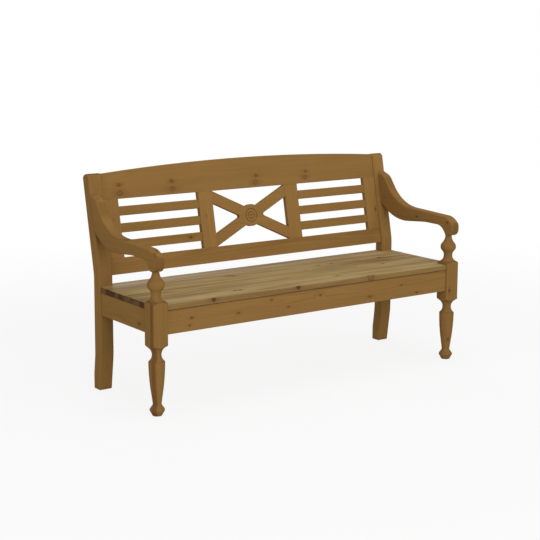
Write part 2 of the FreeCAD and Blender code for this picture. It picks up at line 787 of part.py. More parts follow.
def seat_board(index):
    """One plank of the seat, tongued at its back edge and grooved at its front edge."""
    edges = seat_board_edges()
    front, back = edges[index], edges[index + 1]
    reach = half_length - seat_end_inset
    board = box((-reach, reach), (front, back), (seat_underside, seat_height))
    if index == 0:
        board = eased(board, seat_arris, lambda edge: runs_along(edge, 0) and lies_at(edge, 1, front))
    middle = (seat_underside + seat_height) / 2
    z = (middle - tongue_thickness / 2, middle + tongue_thickness / 2)
    if index + 1 < seat_board_count:
        board = board.fuse(box((-reach, reach), (back, back + tongue_length), z)).removeSplitter()
    tools = []
    if index:
        tools.append(grown((-reach - cut_overrun, reach + cut_overrun),
                           (front - cut_overrun, front + tongue_length), z, 1))
    notches = ((block_inner - notch_clearance, (-cut_overrun, block_width + notch_clearance)),
               (post_inner - notch_clearance, (post_front, seat_back + cut_overrun)))
    for side in (1, -1):
        for wall, y in notches:
            x = sorted((side * wall, side * (half_length + cut_overrun)))
            tools.append(box(x, y, (seat_underside - cut_overrun, seat_height + cut_overrun)))
    return less(board, tools)


def bearer_screw_places():
    """Two screws up through each bearer, into the middles of the first and last seat boards."""
    edges = seat_board_edges()
    height = seat_underside - bearer_height
    places = []
    for x in bearer_places():
        for front, back in (edges[:2], edges[-2:]):
            places.append((V(x, (front + back) / 2, height), V(0, 0, 1)))
    return places


def both_sides(places):
    """Places and directions on the right, with those that mirror them."""
    return places + [(V(-head.x, head.y, head.z), V(-way.x, way.y, way.z)) for head, way in places]


def screws(places, length):
    return Part.makeCompound([screw(head, way, length) for head, way in places])


def rooms(places, length):
    return [screw_room(head, way, length) for head, way in places]


def build():
    """Every node of the bench by name."""
    nodes = {}

    def pair(name, shape):
        nodes[name + "_right"] = shape
        nodes[name + "_left"] = mirrored(shape)

    bolt_places = [brace_bolt_place(True), brace_bolt_place(False)]
    bolt_rooms = [bolt_room(*place) for place in bolt_places]
    leg_rooms = [front_apron_parts(True), side_apron_parts(True)[0]] + bolt_rooms
    pair("front_leg", less(front_leg(), leg_rooms))
    post_rooms = rail_mortises() + [rear_apron_parts(True), side_apron_parts(True)[1]] + arm_dowels(1, 1)
    post_rooms += bolt_rooms
    pair("rear_post", less(rear_post(), post_rooms))
    pair("arm", arm())
    nodes["arm_dowels"] = Part.makeCompound(arm_dowels(1, 0) + arm_dowels(-1, 0))

    nodes["crest_rail"] = leaned(crest_rail())
    nodes["back_bottom_rail"] = leaned(bottom_rail())
    mullion, stile = upright_spans()
    pair("back_mullion", leaned(upright(mullion, mullion_rooms())))
    pair("back_stile", leaned(upright(stile, slat_rooms())))
    for name, (low, high) in zip(("lower", "middle", "upper"), slat_spans()):
        pair("back_slat_" + name, leaned(slat(low, high)))
    nodes["back_cross"] = leaned(cross_board())

    bearer_rooms = rooms(bearer_screw_places(), bearer_screw_length)
    nodes["front_apron"] = front_apron()
    nodes["rear_apron"] = rear_apron()
    pair("side_apron", side_apron())
    for number, place in enumerate(bearer_places(), 1):
        nodes["seat_bearer_%d" % number] = less(bearer(place), bearer_rooms)
    pair("front_brace", less(brace(True), bolt_rooms))
    pair("rear_brace", less(brace(False), bolt_rooms))
    for index in range(seat_board_count):
        nodes["seat_board_%d" % (index + 1)] = less(seat_board(index), bearer_rooms)
    nodes["bearer_screws"] = screws(bearer_screw_places(), bearer_screw_length)
    nodes["brace_bolts"] = Part.makeCompound([brace_bolt(*place) for place in both_sides(bolt_places)])
    return nodes


def main():
    nodes = build()
    bounds = Part.makeCompound(list(nodes.values())).optimalBoundingBox(False)
    to_origin = V(-bounds.Center.x, -bounds.Center.y, -bounds.ZMin)
    os.makedirs("parts", exist_ok=True)
    for name, shape in nodes.items():
        shape.translate(to_origin)
        shape.exportStep("parts/%s.step" % name)
    print("size", [round(side, 2) for side in (bounds.XLength, bounds.YLength, bounds.ZLength)],
          "front of the leg blocks at y", round(to_origin.y, 3), "nodes", len(nodes))


main()
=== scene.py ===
"""Looks of the pine settle bench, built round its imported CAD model.

Metres, in the model's frame: X runs along the bench, Y from its front to its back, Z up from the floor.
Places, radii and widths of pieces and marks are in millimetres, and become metres where they are used.
"""

import json
import logging
import math
from dataclasses import dataclass, replace
from enum import Enum
from typing import Optional, Sequence, Union

import bmesh
import bpy
from bpy.types import ID, Material, Mesh, Node, NodeOutputs, NodeTree, Object
from bpy.types import NodeSocket as Socket
from mathutils import Euler, Matrix, Vector

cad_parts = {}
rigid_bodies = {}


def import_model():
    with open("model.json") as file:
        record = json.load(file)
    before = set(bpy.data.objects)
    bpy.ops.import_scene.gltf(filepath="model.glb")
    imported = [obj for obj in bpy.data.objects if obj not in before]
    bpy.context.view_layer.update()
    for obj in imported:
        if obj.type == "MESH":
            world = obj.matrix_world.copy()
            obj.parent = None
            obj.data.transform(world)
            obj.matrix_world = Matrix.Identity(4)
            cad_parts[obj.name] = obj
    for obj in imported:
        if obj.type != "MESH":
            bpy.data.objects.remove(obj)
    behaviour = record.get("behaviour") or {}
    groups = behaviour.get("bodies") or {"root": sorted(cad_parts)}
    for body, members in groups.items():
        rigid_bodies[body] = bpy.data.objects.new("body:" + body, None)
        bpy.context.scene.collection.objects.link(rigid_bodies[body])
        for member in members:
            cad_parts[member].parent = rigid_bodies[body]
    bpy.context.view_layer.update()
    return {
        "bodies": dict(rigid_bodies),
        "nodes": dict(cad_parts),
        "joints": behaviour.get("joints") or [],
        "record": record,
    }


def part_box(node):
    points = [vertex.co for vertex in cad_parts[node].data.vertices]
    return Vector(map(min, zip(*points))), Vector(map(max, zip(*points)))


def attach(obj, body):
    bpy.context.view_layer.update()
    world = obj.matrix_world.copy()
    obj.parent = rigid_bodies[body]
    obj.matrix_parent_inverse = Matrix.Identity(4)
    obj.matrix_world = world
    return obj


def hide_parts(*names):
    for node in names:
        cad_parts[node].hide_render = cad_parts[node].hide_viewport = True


log = logging.getLogger("settle")

MM = 0.001
RAKE = math.radians(11.6)

Feed = Union[float, int, tuple, Socket]
Colour = tuple[float, float, float]
Place = tuple[float, float, float]


def linear(colour: Colour) -> tuple[float, float, float, float]:
    """Turns a colour as it is seen on a screen into the renderer's own numbers.

    Args:
        colour: red, green and blue from 0 to 255.

    Returns:
        The linear colour with an alpha of 1.
    """
    parts = [c / 255 for c in colour]
    return (*[p / 12.92 if p <= 0.04045 else ((p + 0.055) / 1.055) ** 2.4 for p in parts], 1.0)


class Wiring:
    """Adds nodes to a tree and joins them."""

    FAMILY = "ShaderNode"

    def __init__(self, tree: NodeTree) -> None:
        """Keeps the tree that the nodes go into."""
        self.tree = tree

    def add(self, kind: str, **settings: object) -> Node:
        """Adds a node.

        Args:
            kind: the node's type.
            settings: the node's own properties.

        Returns:
            The new node.
        """
        node = self.tree.nodes.new(kind)
        for name, value in settings.items():
            setattr(node, name, value)
        return node

    def feed(self, socket: Socket, value: Feed) -> None:
        """Joins a socket to another one, or sets its value.

        Args:
            socket: the input that is fed.
            value: an output's socket or a constant.
        """
        if isinstance(value, Socket):
            self.tree.links.new(value, socket)
        else:
            socket.default_value = value

    def wire(self, node: Node, **feeds: Feed) -> Node:
        """Feeds a node's named inputs.

        Args:
            node: the node.
            feeds: its inputs, by their names with underscores for spaces.

        Returns:
            The same node.
        """
        for name, value in feeds.items():
            self.feed(node.inputs[name.replace("_", " ")], value)
        return node

    def make(self, kind: str, out: Union[int, str] = 0, settings: Optional[dict] = None,
             **feeds: Feed) -> Socket:
        """Adds a node of the tree's own family and feeds its named inputs.

        Args:
            kind: the node's type, without its family.
            out: which of its outputs is wanted.
            settings: its own properties.
            feeds: its inputs, by their names with underscores for spaces.

        Returns:
            The wanted output's socket.
        """
        return self.wire(self.add(self.FAMILY + kind, **(settings or {})), **feeds).outputs[out]

    def math(self, operation: str, *values: Feed, clamp: bool = False) -> Socket:
        """Adds a Math node.

        Args:
            operation: what it works out.
            values: its inputs.
            clamp: whether the result is kept between 0 and 1.

        Returns:
            The result's socket.
        """
        node = self.add("ShaderNodeMath", operation=operation, use_clamp=clamp)
        for socket, value in zip(node.inputs, values):
            self.feed(socket, value)
        return node.outputs[0]

    def vector(self, operation: str, *values: Feed) -> Socket:
        """Adds a Vector Math node.

        Args:
            operation: what it works out.
            values: its vector inputs; SCALE takes its factor last.

        Returns:
            The result's socket, a number for a length or a dot product.
        """
        node = self.add("ShaderNodeVectorMath", operation=operation)
        if operation == "SCALE":
            self.wire(node, Vector=values[0], Scale=values[1])
        else:
            for socket, value in zip(node.inputs, values):
                self.feed(socket, value)
        return node.outputs["Value" if operation in ("LENGTH", "DOT_PRODUCT") else "Vector"]

    def dot(self, left: Feed, right: Feed) -> Socket:
        """Works out a dot product."""
        return self.vector("DOT_PRODUCT", left, right)

    def noise(self, point: Feed, scale: Union[float, Place], detail: float = 2.0,
              roughness: float = 0.5) -> Socket:
        """Adds a noise texture, about 0.5 in the mean.

        Args:
            point: where it is read.
            scale: its scale, or one for each axis.
            detail: how many octaves it has.
            roughness: how strong the fine octaves are.

        Returns:
            The socket of its value.
        """
        if isinstance(scale, tuple):
            point, scale = self.vector("MULTIPLY", point, scale), 1.0
        return self.make("TexNoise", Vector=point, Scale=scale, Detail=detail, Roughness=roughness)

    def step(self, value: Feed, low: Feed, high: Feed, start: Feed = 0.0, end: Feed = 1.0) -> Socket:
        """Adds a soft step.

        Args:
            value: what is stepped.
            low: where the step starts.
            high: where it ends.
            start: the result before the step.
            end: the result after it.

        Returns:
            The result's socket.
        """
        node = self.add("ShaderNodeMapRange", interpolation_type="SMOOTHSTEP")
        for socket, entry in zip(node.inputs, (value, low, high, start, end)):
            self.feed(socket, entry)
        return node.outputs[0]

    def blend(self, share: Feed, under: Feed, over: Feed, way: str = "MIX") -> Socket:
        """Lays one colour over another.

        Args:
            share: how much of the upper colour shows.
            under: the lower colour.
            over: the upper colour.
            way: the blend type.

        Returns:
            The colour's socket.
        """
        node = self.add("ShaderNodeMix", data_type="RGBA", blend_type=way)
        self.feed(node.inputs[0], share)
        self.feed(node.inputs[6], under)
        self.feed(node.inputs[7], over)
        return node.outputs[2]

    def place(self, group: NodeTree, **feeds: Feed) -> Node:
        """Places a node group and feeds its named inputs."""
        return self.wire(self.add("ShaderNodeGroup", node_tree=group), **feeds)

    def seen(self) -> Socket:
        """Finds the rays that see the backdrop: the camera's own and those mirrored or let through.

        Returns:
            A socket that is 1 for them.
        """
        path = self.add("ShaderNodeLightPath").outputs
        bounced = self.math("MAXIMUM", path["Is Glossy Ray"], path["Is Transmission Ray"])
        return self.math("MAXIMUM", path["Is Camera Ray"], bounced)

    def end(self, shader: Socket, kind: str = "Material") -> None:
        """Ends the tree in its output node."""
        self.wire(self.add("ShaderNodeOutput" + kind), Surface=shader)


def new_group(name: str, inputs: dict[str, str],
              outputs: dict[str, str]) -> tuple[Wiring, NodeOutputs, Node]:
    """Starts a shader node group.

    Args:
        name: the group's name.
        inputs: names of its inputs, for each kind: Float, Vector or Color.
        outputs: names of its outputs, for each kind.

    Returns:
        The group's wiring, the sockets of its inputs and its output node.
    """
    tree = bpy.data.node_groups.new(name, "ShaderNodeTree")
    for entries, way in ((inputs, "INPUT"), (outputs, "OUTPUT")):
        for kind, sockets in entries.items():
            for socket in sockets.split(", "):
                tree.interface.new_socket(name=socket, in_out=way, socket_type="NodeSocket" + kind)
    wiring = Wiring(tree)
    return wiring, wiring.add("NodeGroupInput").outputs, wiring.add("NodeGroupOutput")


def new_material(name: str) -> tuple[Material, Wiring]:
    """Starts a material.

    Args:
        name: the material's name.

    Returns:
        The material and the wiring of its empty tree.
    """
    material = bpy.data.materials.new(name)
    material.use_nodes = True
    material.node_tree.nodes.clear()
    return material, Wiring(material.node_tree)


def new_object(name: str, data: ID) -> Object:
    """Puts an object into the scene.

    Args:
        name: the object's name.
        data: its mesh, lamp or camera.

    Returns:
        The object.
    """
    made = bpy.data.objects.new(name, data)
    bpy.context.scene.collection.objects.link(made)
    return made


class WoodGroups:
    """The shader groups that every wooden piece shares.

    The scales of its noises are per metre, along the grain and twice across it.
    """

    SWAY = (0.9, 5.0, 5.0)
    RIPPLE = (9.0, 60.0, 60.0)
    FIBRE = (7.0, 420.0, 420.0)
    FIGURE = (1.6, 16.0, 16.0)
    BROAD_STREAKS = (1.5, 26.0, 26.0)
    FINE_STREAKS = (3.2, 90.0, 90.0)

    def __init__(self) -> None:
        """Builds the groups once."""
        self.grain = self._grain()
        self.knot = self._knot()
        self.arris = self._arris()
        self.seam = self._seam()
        self.surface = self._surface()

    def _grain(self) -> NodeTree:
        """Growth rings, fibres and figure of softwood whose pith runs along X through the origin.

        Returns:
            The group, with the outputs Late, Fibre and Figure from 0 to 1.
        """
        w, g, result = new_group("Softwood Grain", {"Vector": "Point", "Float": "Lift, Ring Width, Wander"},
                                 {"Float": "Late, Fibre, Figure"})
        ripple_depth = 0.0016
        late_rise, late_fall = (0.3, 0.9), (0.93, 1.0)
        least_late = 0.35
        sway = w.noise(g["Point"], self.SWAY, 2.0, 0.55)
        ripple = w.noise(g["Point"], self.RIPPLE, 2.0, 0.5)
        radius = w.vector("LENGTH", w.vector("MULTIPLY", g["Point"], (0.0, 1.0, 1.0)))
        bent = w.math("MULTIPLY_ADD", w.math("SUBTRACT", sway, 0.5), g["Wander"], radius)
        bent = w.math("MULTIPLY_ADD", w.math("SUBTRACT", ripple, 0.5), ripple_depth, bent)
        rings = w.math("DIVIDE", w.math("ADD", bent, g["Lift"]), g["Ring Width"])
        part = w.math("FRACT", rings)
        dense = w.make("TexWhiteNoise", "Value", {"noise_dimensions": "1D"}, W=w.math("FLOOR", rings))
        shape = w.math("MULTIPLY", w.step(part, *late_rise), w.step(part, *late_fall, 1.0, 0.0))
        strength = w.math("MULTIPLY_ADD", dense, 1.0 - least_late, least_late)
        w.wire(result, Late=w.math("MULTIPLY", shape, strength),
               Fibre=w.noise(g["Point"], self.FIBRE, 3.0, 0.6), Figure=w.noise(g["Point"], self.FIGURE, 3.0, 0.55))
        return w.tree

    def _knot(self) -> NodeTree:
        """One knot: a branch that crosses the board, with the rings drawn up round it.

        Lengths in it are shares of the knot's radius.

        Returns:
            The group. It adds its own part to the Lift, Core and Halo that it is given.
        """
        w, g, result = new_group(
            "Branch Knot",
            {"Vector": "Point, Centre, Through, Along", "Float": "Radius, Strength, Hollow, Lift, Core, Halo"},
            {"Float": "Lift, Core, Halo"})
        body_rim, hollow_rim, eye_rim, halo_rim = (0.7, 1.1), (0.3, 0.72), (0.05, 0.25), (0.5, 1.8)
        knot_drawn, halo_drawn = 0.2, 0.62
        core_ragged, halo_ragged, ragged_scale = 0.9, 1.1, 120.0
        ring_rate, ring_depth, eye_depth = 26.0, 0.12, 0.9
        hill_reach, hill_height = 1.5, 1.15
        off = w.vector("SUBTRACT", g["Point"], g["Centre"])
        depth = w.vector("SCALE", g["Through"], w.dot(off, g["Through"]))
        flat = w.vector("SUBTRACT", off, depth)
        run = w.dot(flat, g["Along"])
        rough = w.math("SUBTRACT", w.noise(g["Point"], ragged_scale, 3.0, 0.65), 0.5)
        reach = []
        for drawn, ragged in ((knot_drawn, core_ragged), (halo_drawn, halo_ragged)):
            oval = w.vector("SUBTRACT", flat, w.vector("SCALE", g["Along"], w.math("MULTIPLY", run, drawn)))
            share = w.math("DIVIDE", w.vector("LENGTH", oval), g["Radius"])
            reach.append(w.math("MULTIPLY_ADD", rough, ragged, share))
        near, far = reach
        body = w.step(near, *body_rim, 1.0, 0.0)
        inside = w.math("MULTIPLY", w.step(near, *hollow_rim, 1.0, 0.0), g["Hollow"])
        rings = w.math("MULTIPLY_ADD", w.math("SINE", w.math("MULTIPLY", near, ring_rate)), ring_depth,
                       1.0 - ring_depth)
        core = w.math("MULTIPLY", w.math("MULTIPLY", body, w.math("SUBTRACT", 1.0, inside)), rings)
        core = w.math("MAXIMUM", core, w.step(near, *eye_rim, eye_depth, 0.0))
        core = w.math("MULTIPLY", core, g["Strength"])
        halo = w.math("MULTIPLY", w.step(far, *halo_rim, 1.0, 0.0), g["Strength"])
        square = w.math("POWER", w.math("DIVIDE", far, hill_reach), 2.0)
        hill = w.math("EXPONENT", w.math("MULTIPLY", square, -1.0))
        height = w.math("MULTIPLY", g["Radius"], hill_height)
        w.wire(result, Lift=w.math("MULTIPLY_ADD", hill, height, g["Lift"]),
               Core=w.math("MAXIMUM", core, g["Core"]), Halo=w.math("MAXIMUM", halo, g["Halo"]))
        return w.tree

    def _arris(self) -> NodeTree:
        """Where the piece has a corner, and its normal rounded over there.

        Returns:
            The group, with the outputs Corner from 0 to 1 and Normal.
        """
        w, g, result = new_group("Eased Arris", {"Float": "Reach", "Vector": "Point"},
                                 {"Float": "Corner", "Vector": "Normal"})
        least_turn, full_turn, uneven_scale = 0.004, 0.16, 38.0
        # Noise makes the reach uneven. The Corner mask marks arrises and inside corners, whose darker colour is
        # partly wear and partly painted shade.
        uneven = w.noise(g["Point"], uneven_scale, 3.0, 0.6)
        wide = w.make("Bevel", settings={"samples": 4},
                      Radius=w.math("MULTIPLY", g["Reach"], w.math("ADD", 0.5, uneven)))
        flat = w.make("NewGeometry", "Normal")
        turn = w.math("SUBTRACT", 1.0, w.dot(wide, flat))
        w.wire(result, Corner=w.step(turn, least_turn, full_turn), Normal=wide)
        return w.tree

    def _seam(self) -> NodeTree:
        """A dark line where a distance is near a set place, as a glue line, a shaded edge or a carved ring.

        Returns:
            The group, with the output Line from 0 to 1.
        """
        w, g, result = new_group(
            "Dark Line", {"Float": "Distance, Place, Half Width, Depth, Line", "Vector": "Point"},
            {"Float": "Line"})
        full_share, faded_share, ragged_scale = 0.4, 1.3, 55.0
        rough = w.math("SUBTRACT", w.noise(g["Point"], ragged_scale, 2.0), 0.5)
        ragged = w.math("MULTIPLY", rough, g["Half Width"])
        gap = w.math("ABSOLUTE", w.math("ADD", w.math("SUBTRACT", g["Distance"], g["Place"]), ragged))
        full, faded = (w.math("MULTIPLY", g["Half Width"], share) for share in (full_share, faded_share))
        line = w.math("MULTIPLY", w.step(gap, full, faded, 1.0, 0.0), g["Depth"])
        w.wire(result, Line=w.math("MAXIMUM", line, g["Line"]))
        return w.tree

    def _surface(self) -> NodeTree:
        """Joins grain, knots, corners and end grain into one colour, roughness and height. Corners take a colour
        that is partly wear and partly painted shade.

        Returns:
            The group, with the outputs Colour, Roughness and Height.
        """
        w, g, result = new_group(
            "Waxed Surface",
            {"Vector": "Point",
             "Float": "Late, Fibre, Figure, Core, Halo, Corner, End, Edge, Line, Heart, "
                      "Contrast, Streaking, Gloss",
             "Color": "Early Wood, Late Wood, End Grain, Knot Wood, Knot Ring, Worn Corner, Edge Wood"},
            {"Color": "Colour", "Float": "Roughness, Height"})
        broad_span, fine_span, fine_share = (0.36, 0.66), (0.48, 0.7), 0.7
        figure_tone, fibre_tone = (0.3, 0.85), (0.26, 0.87)
        late_on_ends, figure_on_ends = 0.55, (0.45, 0.65, 0.0, 0.5)
        patch_scale, patch_span = 21.0, (0.3, 0.7, 0.5, 1.0)
        stains = (("Heart", 0.8, "Knot Ring"), ("Halo", 0.42, "Knot Ring"), ("Core", 0.85, "Knot Wood"))
        roughened = (("Fibre", 0.16), ("Late", -0.05), ("End", 0.14))
        late_height, raised = 0.6, (("Fibre", 0.5), ("Core", 0.5), ("Line", -0.6))
        broad = w.step(w.noise(g["Point"], self.BROAD_STREAKS, 3.0, 0.6), *broad_span)
        fine = w.step(w.noise(g["Point"], self.FINE_STREAKS, 2.0, 0.6), *fine_span)
        streaks = w.math("MULTIPLY", w.math("MULTIPLY_ADD", fine, fine_share, broad), g["Streaking"])
        share = w.math("MULTIPLY_ADD", g["Late"], g["Contrast"], streaks, clamp=True)
        colour = w.blend(share, g["Early Wood"], g["Late Wood"])
        # Painted shade: faces that look forward take a darker wood colour than the rest of the piece.
        colour = w.blend(g["Edge"], colour, w.blend(share, g["Edge Wood"], g["Worn Corner"]))
        tone = w.math("MULTIPLY_ADD", g["Figure"], *figure_tone)
        tone = w.math("MULTIPLY", tone, w.math("MULTIPLY_ADD", g["Fibre"], *fibre_tone))
        colour = w.blend(1.0, colour, tone, "MULTIPLY")
        for mask, strength, wood in stains:
            colour = w.blend(w.math("MULTIPLY", g[mask], strength), colour, g[wood])
        ends = w.blend(w.math("MULTIPLY", g["Late"], late_on_ends), g["End Grain"], g["Knot Wood"])
        ends = w.blend(w.step(g["Figure"], *figure_on_ends), ends, g["Late Wood"])
        colour = w.blend(g["End"], colour, ends)
        # Arrises and inside corners take a darker colour in patches: partly wear, partly painted shade.
        wear_and_shade_patches = w.step(w.noise(g["Point"], patch_scale, 3.0, 0.65), *patch_span)
        colour = w.blend(w.math("MULTIPLY", g["Corner"], wear_and_shade_patches), colour, g["Worn Corner"])
        colour = w.blend(g["Line"], colour, g["Knot Wood"])
        rough = g["Gloss"]
        for mask, strength in roughened:
            rough = w.math("MULTIPLY_ADD", g[mask], strength, rough)
        height = w.math("MULTIPLY", g["Late"], late_height)
        for mask, strength in raised:
            height = w.math("MULTIPLY_ADD", g[mask], strength, height)
        w.wire(result, Colour=colour, Roughness=rough, Height=height)
        return w.tree


class Run(Enum):
    """The way that the grain of a piece runs, as the turn that lays it along X."""

    ALONG = (0.0, 0.0, 0.0)
    DEEP = (0.0, 0.0, -math.pi / 2)
    UPRIGHT = (0.0, math.pi / 2, 0.0)
    RAKED = (RAKE, math.pi / 2, 0.0)


class Through(Enum):
    """The way that a branch runs through a board, or how it tapers off inside one."""

    FRONT = (0.0, 1.0, 0.0)
    SIDE = (1.0, 0.0, 0.0)
    TOP = (0.0, 0.0, 1.0)
    ROUND = (0.0, 0.0, 0.0)
    TAPERED = (0.0, 0.0, 0.6)


ALONG, DEEP, UPRIGHT, RAKED = Run
FRONT, SIDE, TOP, ROUND, TAPERED = Through


@dataclass(frozen=True)
class Knot:
    """A knot: its place and radius, how its branch runs, how dark it is and how far its middle is faded."""

    x: float
    y: float
    z: float
    radius: float
    through: Through = FRONT
    strength: float = 1.0
    hollow: float = 0.0


@dataclass(frozen=True)
class Heart:
    """A dark upright streak of heartwood: a place on it, the way it faces, its half width and its top."""

    x: float
    y: float
    way: tuple[float, float]
    half_width: float
    top: float = 1000.0

    def streak(self, w: Wiring, where: Socket) -> Socket:
        """Wires the streak.

        Args:
            w: the material's wiring.
            where: the object coordinates.

        Returns:
            The socket of a mask that is 1 on the streak.
        """
        waves, wave_width = (30.0, 30.0, 6.0), 0.004
        depth_start, depth_end, fade = -0.02, -0.005, 30.0
        off = w.vector("SUBTRACT", where, (self.x * MM, self.y * MM, 0.0))
        across = w.dot(off, (self.way[1], -self.way[0], 0.0))
        across = w.math("MULTIPLY_ADD", w.math("SUBTRACT", w.noise(where, waves), 0.5), wave_width, across)
        ahead = w.step(w.dot(off, (*self.way, 0.0)), depth_start, depth_end)
        width = self.half_width * MM
        band = w.step(w.math("ABSOLUTE", across), 0.4 * width, width, 1.0, 0.0)
        height = w.dot(where, (0.0, 0.0, 1.0))
        below = w.step(height, (self.top - fade) * MM, self.top * MM, 1.0, 0.0)
        return w.math("MULTIPLY", w.math("MULTIPLY", band, ahead), below)


@dataclass(frozen=True)
class DarkLines:
    """Dark lines at set distances: straight ones across one way, or rings carved into the back's front."""

    places: tuple[float, ...]
    half_width: float = 0.7
    depth: float = 0.5
    across: Place = (0.0, 0.0, 1.0)
    centre: Optional[Place] = None
    carved: tuple[float, float] = (0.004, 0.008)

    def mask(self, w: Wiring, group: NodeTree, where: Socket, point: Socket) -> Feed:
        """Wires the lines.

        Args:
            w: the material's wiring.
            group: the shader group for dark lines.
            where: the object coordinates.
            point: the place in the tree.

        Returns:
            The socket of a mask that is 1 on the lines.
        """
        if self.centre is None:
            distance, dark = w.dot(where, self.across), self.depth
        else:
            normal = (0.0, math.cos(RAKE), -math.sin(RAKE))
            off = w.vector("SUBTRACT", where, tuple(Vector(self.centre) * MM))
            behind = w.dot(off, normal)
            distance = w.vector("LENGTH", w.vector("SUBTRACT", off, w.vector("SCALE", normal, behind)))
            dark = w.step(behind, *self.carved, self.depth, 0.0)
        line: Feed = 0.0
        for place in self.places:
            line = w.place(group, Distance=distance, Place=place * MM, Half_Width=self.half_width * MM,
                           Depth=dark, Point=point, Line=line).outputs["Line"]
        return line


@dataclass(frozen=True)
class Timber:
    """A wooden piece: its node, its grain's run, its place off the pith and its place along the tree.

    It may have knots, dark lines, heartwood, a colour of its own and arrises left as they are.
    """

    node: str
    run: Run
    pith: tuple[float, float]
    shift: float
    knots: tuple[Knot, ...] = ()
    lines: Optional[DarkLines] = None
    heart: Optional[Heart] = None
    early: Optional[Colour] = None
    eased: bool = True


def row(y: float, *places: Place, strength: float = 1.0, hollow: float = 0.0) -> tuple[Knot, ...]:
    """Sets knots of one depth and tone into a front face, each by its X, its Z and its radius."""
    return tuple(Knot(x, y, z, radius, FRONT, strength, hollow) for x, z, radius in places)


@dataclass(frozen=True)
class PineFinish:
    """Stained and waxed pine, in colours as they are seen."""

    name: str
    slot: str
    early: Colour
    late: Colour
    end: Colour
    knot: Colour
    ring: Colour
    # Arrises and inside corners take the corner colour: partly wear, partly painted shade.
    corner: Colour
    # Where it is given, faces that look forward take the edge colour as painted shade.
    edge: Optional[Colour] = None
    contrast: float = 0.5
    streaking: float = 0.1
    gloss: float = 0.58
    sheen: float = 0.05
    ring_width: float = 3.4
    wander: float = 24.0
    corner_reach: float = 3.2
    relief: float = 0.3
    relief_depth: float = 0.4
    end_grain: tuple[float, float] = (0.62, 0.9)
    front_shade_span: tuple[float, float] = (0.15, 0.55)

    def material(self, groups: WoodGroups, wood: Timber, middle: Vector) -> Material:
        """Makes the material of one piece.

        Args:
            groups: the shader groups for wood.
            wood: the piece.
            middle: the middle of the piece.

        Returns:
            The material.
        """
        material, w = new_material(f"{self.name}_{wood.node}")
        place = w.add("ShaderNodeTexCoord").outputs
        where = place["Object"]
        turn = Euler(wood.run.value, "XYZ").to_matrix()
        pith = Vector((wood.shift, wood.pith[0] * MM, wood.pith[1] * MM))
        point = w.make("Mapping", Vector=where, Rotation=wood.run.value, Location=pith - turn @ middle)
        fibre_way = tuple(turn.transposed() @ Vector((1.0, 0.0, 0.0)))
        masks: dict[str, Feed] = {"Lift": 0.0, "Core": 0.0, "Halo": 0.0}
        for knot in wood.knots:
            node = w.place(groups.knot, Point=where, Centre=(knot.x * MM, knot.y * MM, knot.z * MM),
                           Through=knot.through.value, Along=fibre_way, Radius=knot.radius * MM,
                           Strength=knot.strength, Hollow=knot.hollow, **masks)
            masks = {name: node.outputs[name] for name in masks}
        grain = w.place(groups.grain, Point=point, Lift=masks.pop("Lift"), Ring_Width=self.ring_width * MM,
                        Wander=self.wander * MM)
        masks.update({name: grain.outputs[name] for name in ("Late", "Fibre", "Figure")})
        corner = w.place(groups.arris, Reach=self.corner_reach * MM, Point=where)
        facing = w.math("ABSOLUTE", w.dot(place["Normal"], fibre_way))
        masks["Corner"] = corner.outputs["Corner"]
        masks["End"] = w.step(facing, *self.end_grain)
        if wood.lines is not None:
            masks["Line"] = wood.lines.mask(w, groups.seam, where, point)
        if wood.heart is not None:
            masks["Heart"] = wood.heart.streak(w, where)
        # Painted shade: faces that look forward are marked for a darker colour.
        if self.edge is not None:
            masks["Edge"] = w.step(w.dot(place["Normal"], (0.0, -1.0, 0.0)), *self.front_shade_span)
        surface = w.place(
            groups.surface, Point=point, Early_Wood=linear(wood.early or self.early),
            Late_Wood=linear(self.late), End_Grain=linear(self.end), Knot_Wood=linear(self.knot),
            Knot_Ring=linear(self.ring), Worn_Corner=linear(self.corner),
            Edge_Wood=linear(self.edge or self.early), Contrast=self.contrast, Streaking=self.streaking,
            Gloss=self.gloss, **masks).outputs
        bump = w.make("Bump", Strength=self.relief, Distance=self.relief_depth * MM, Height=surface["Height"],
                      Normal=corner.outputs["Normal"])
        w.end(w.make("BsdfPrincipled", Specular_IOR_Level=self.sheen, Base_Color=surface["Colour"],
                     Roughness=surface["Roughness"], Normal=bump))
        return material


@dataclass(frozen=True)
class ZincFinish:
    """Zinc plate on steel screws, bright and dull in spangles, with some grime."""

    name: str = "Zinc_Plate"
    slot: str = "zinc_steel"
    bright: Colour = (176, 178, 180)
    dull: Colour = (120, 119, 114)
    grimy: Colour = (84, 74, 60)
    relief: float = 0.25
    relief_depth: float = 0.2
    spangle_scale: float = 900.0
    grime_scale: float = 240.0
    spangle_span: tuple[float, float] = (0.35, 0.68)
    grime_span: tuple[float, ...] = (0.52, 0.75, 0.0, 0.6)
    metal_span: tuple[float, ...] = (0.5, 0.8, 0.95, 0.5)
    rough_span: tuple[float, ...] = (0.2, 0.8, 0.3, 0.55)

    def material(self, label: str) -> Material:
        """Makes the material of the screws.

        Args:
            label: the piece's name.

        Returns:
            The material.
        """
        material, w = new_material(f"{self.name}_{label}")
        where = w.make("TexCoord", "Object")
        spangle = w.noise(where, self.spangle_scale, 2.0, 0.6)
        grime = w.noise(where, self.grime_scale, 4.0, 0.7)
        colour = w.blend(w.step(spangle, *self.spangle_span), linear(self.dull), linear(self.bright))
        colour = w.blend(w.step(grime, *self.grime_span), colour, linear(self.grimy))
        bump = w.make("Bump", Strength=self.relief, Distance=self.relief_depth * MM, Height=grime)
        w.end(w.make("BsdfPrincipled", Base_Color=colour, Metallic=w.step(grime, *self.metal_span),
                     Roughness=w.step(spangle, *self.rough_span), Normal=bump))
        return material


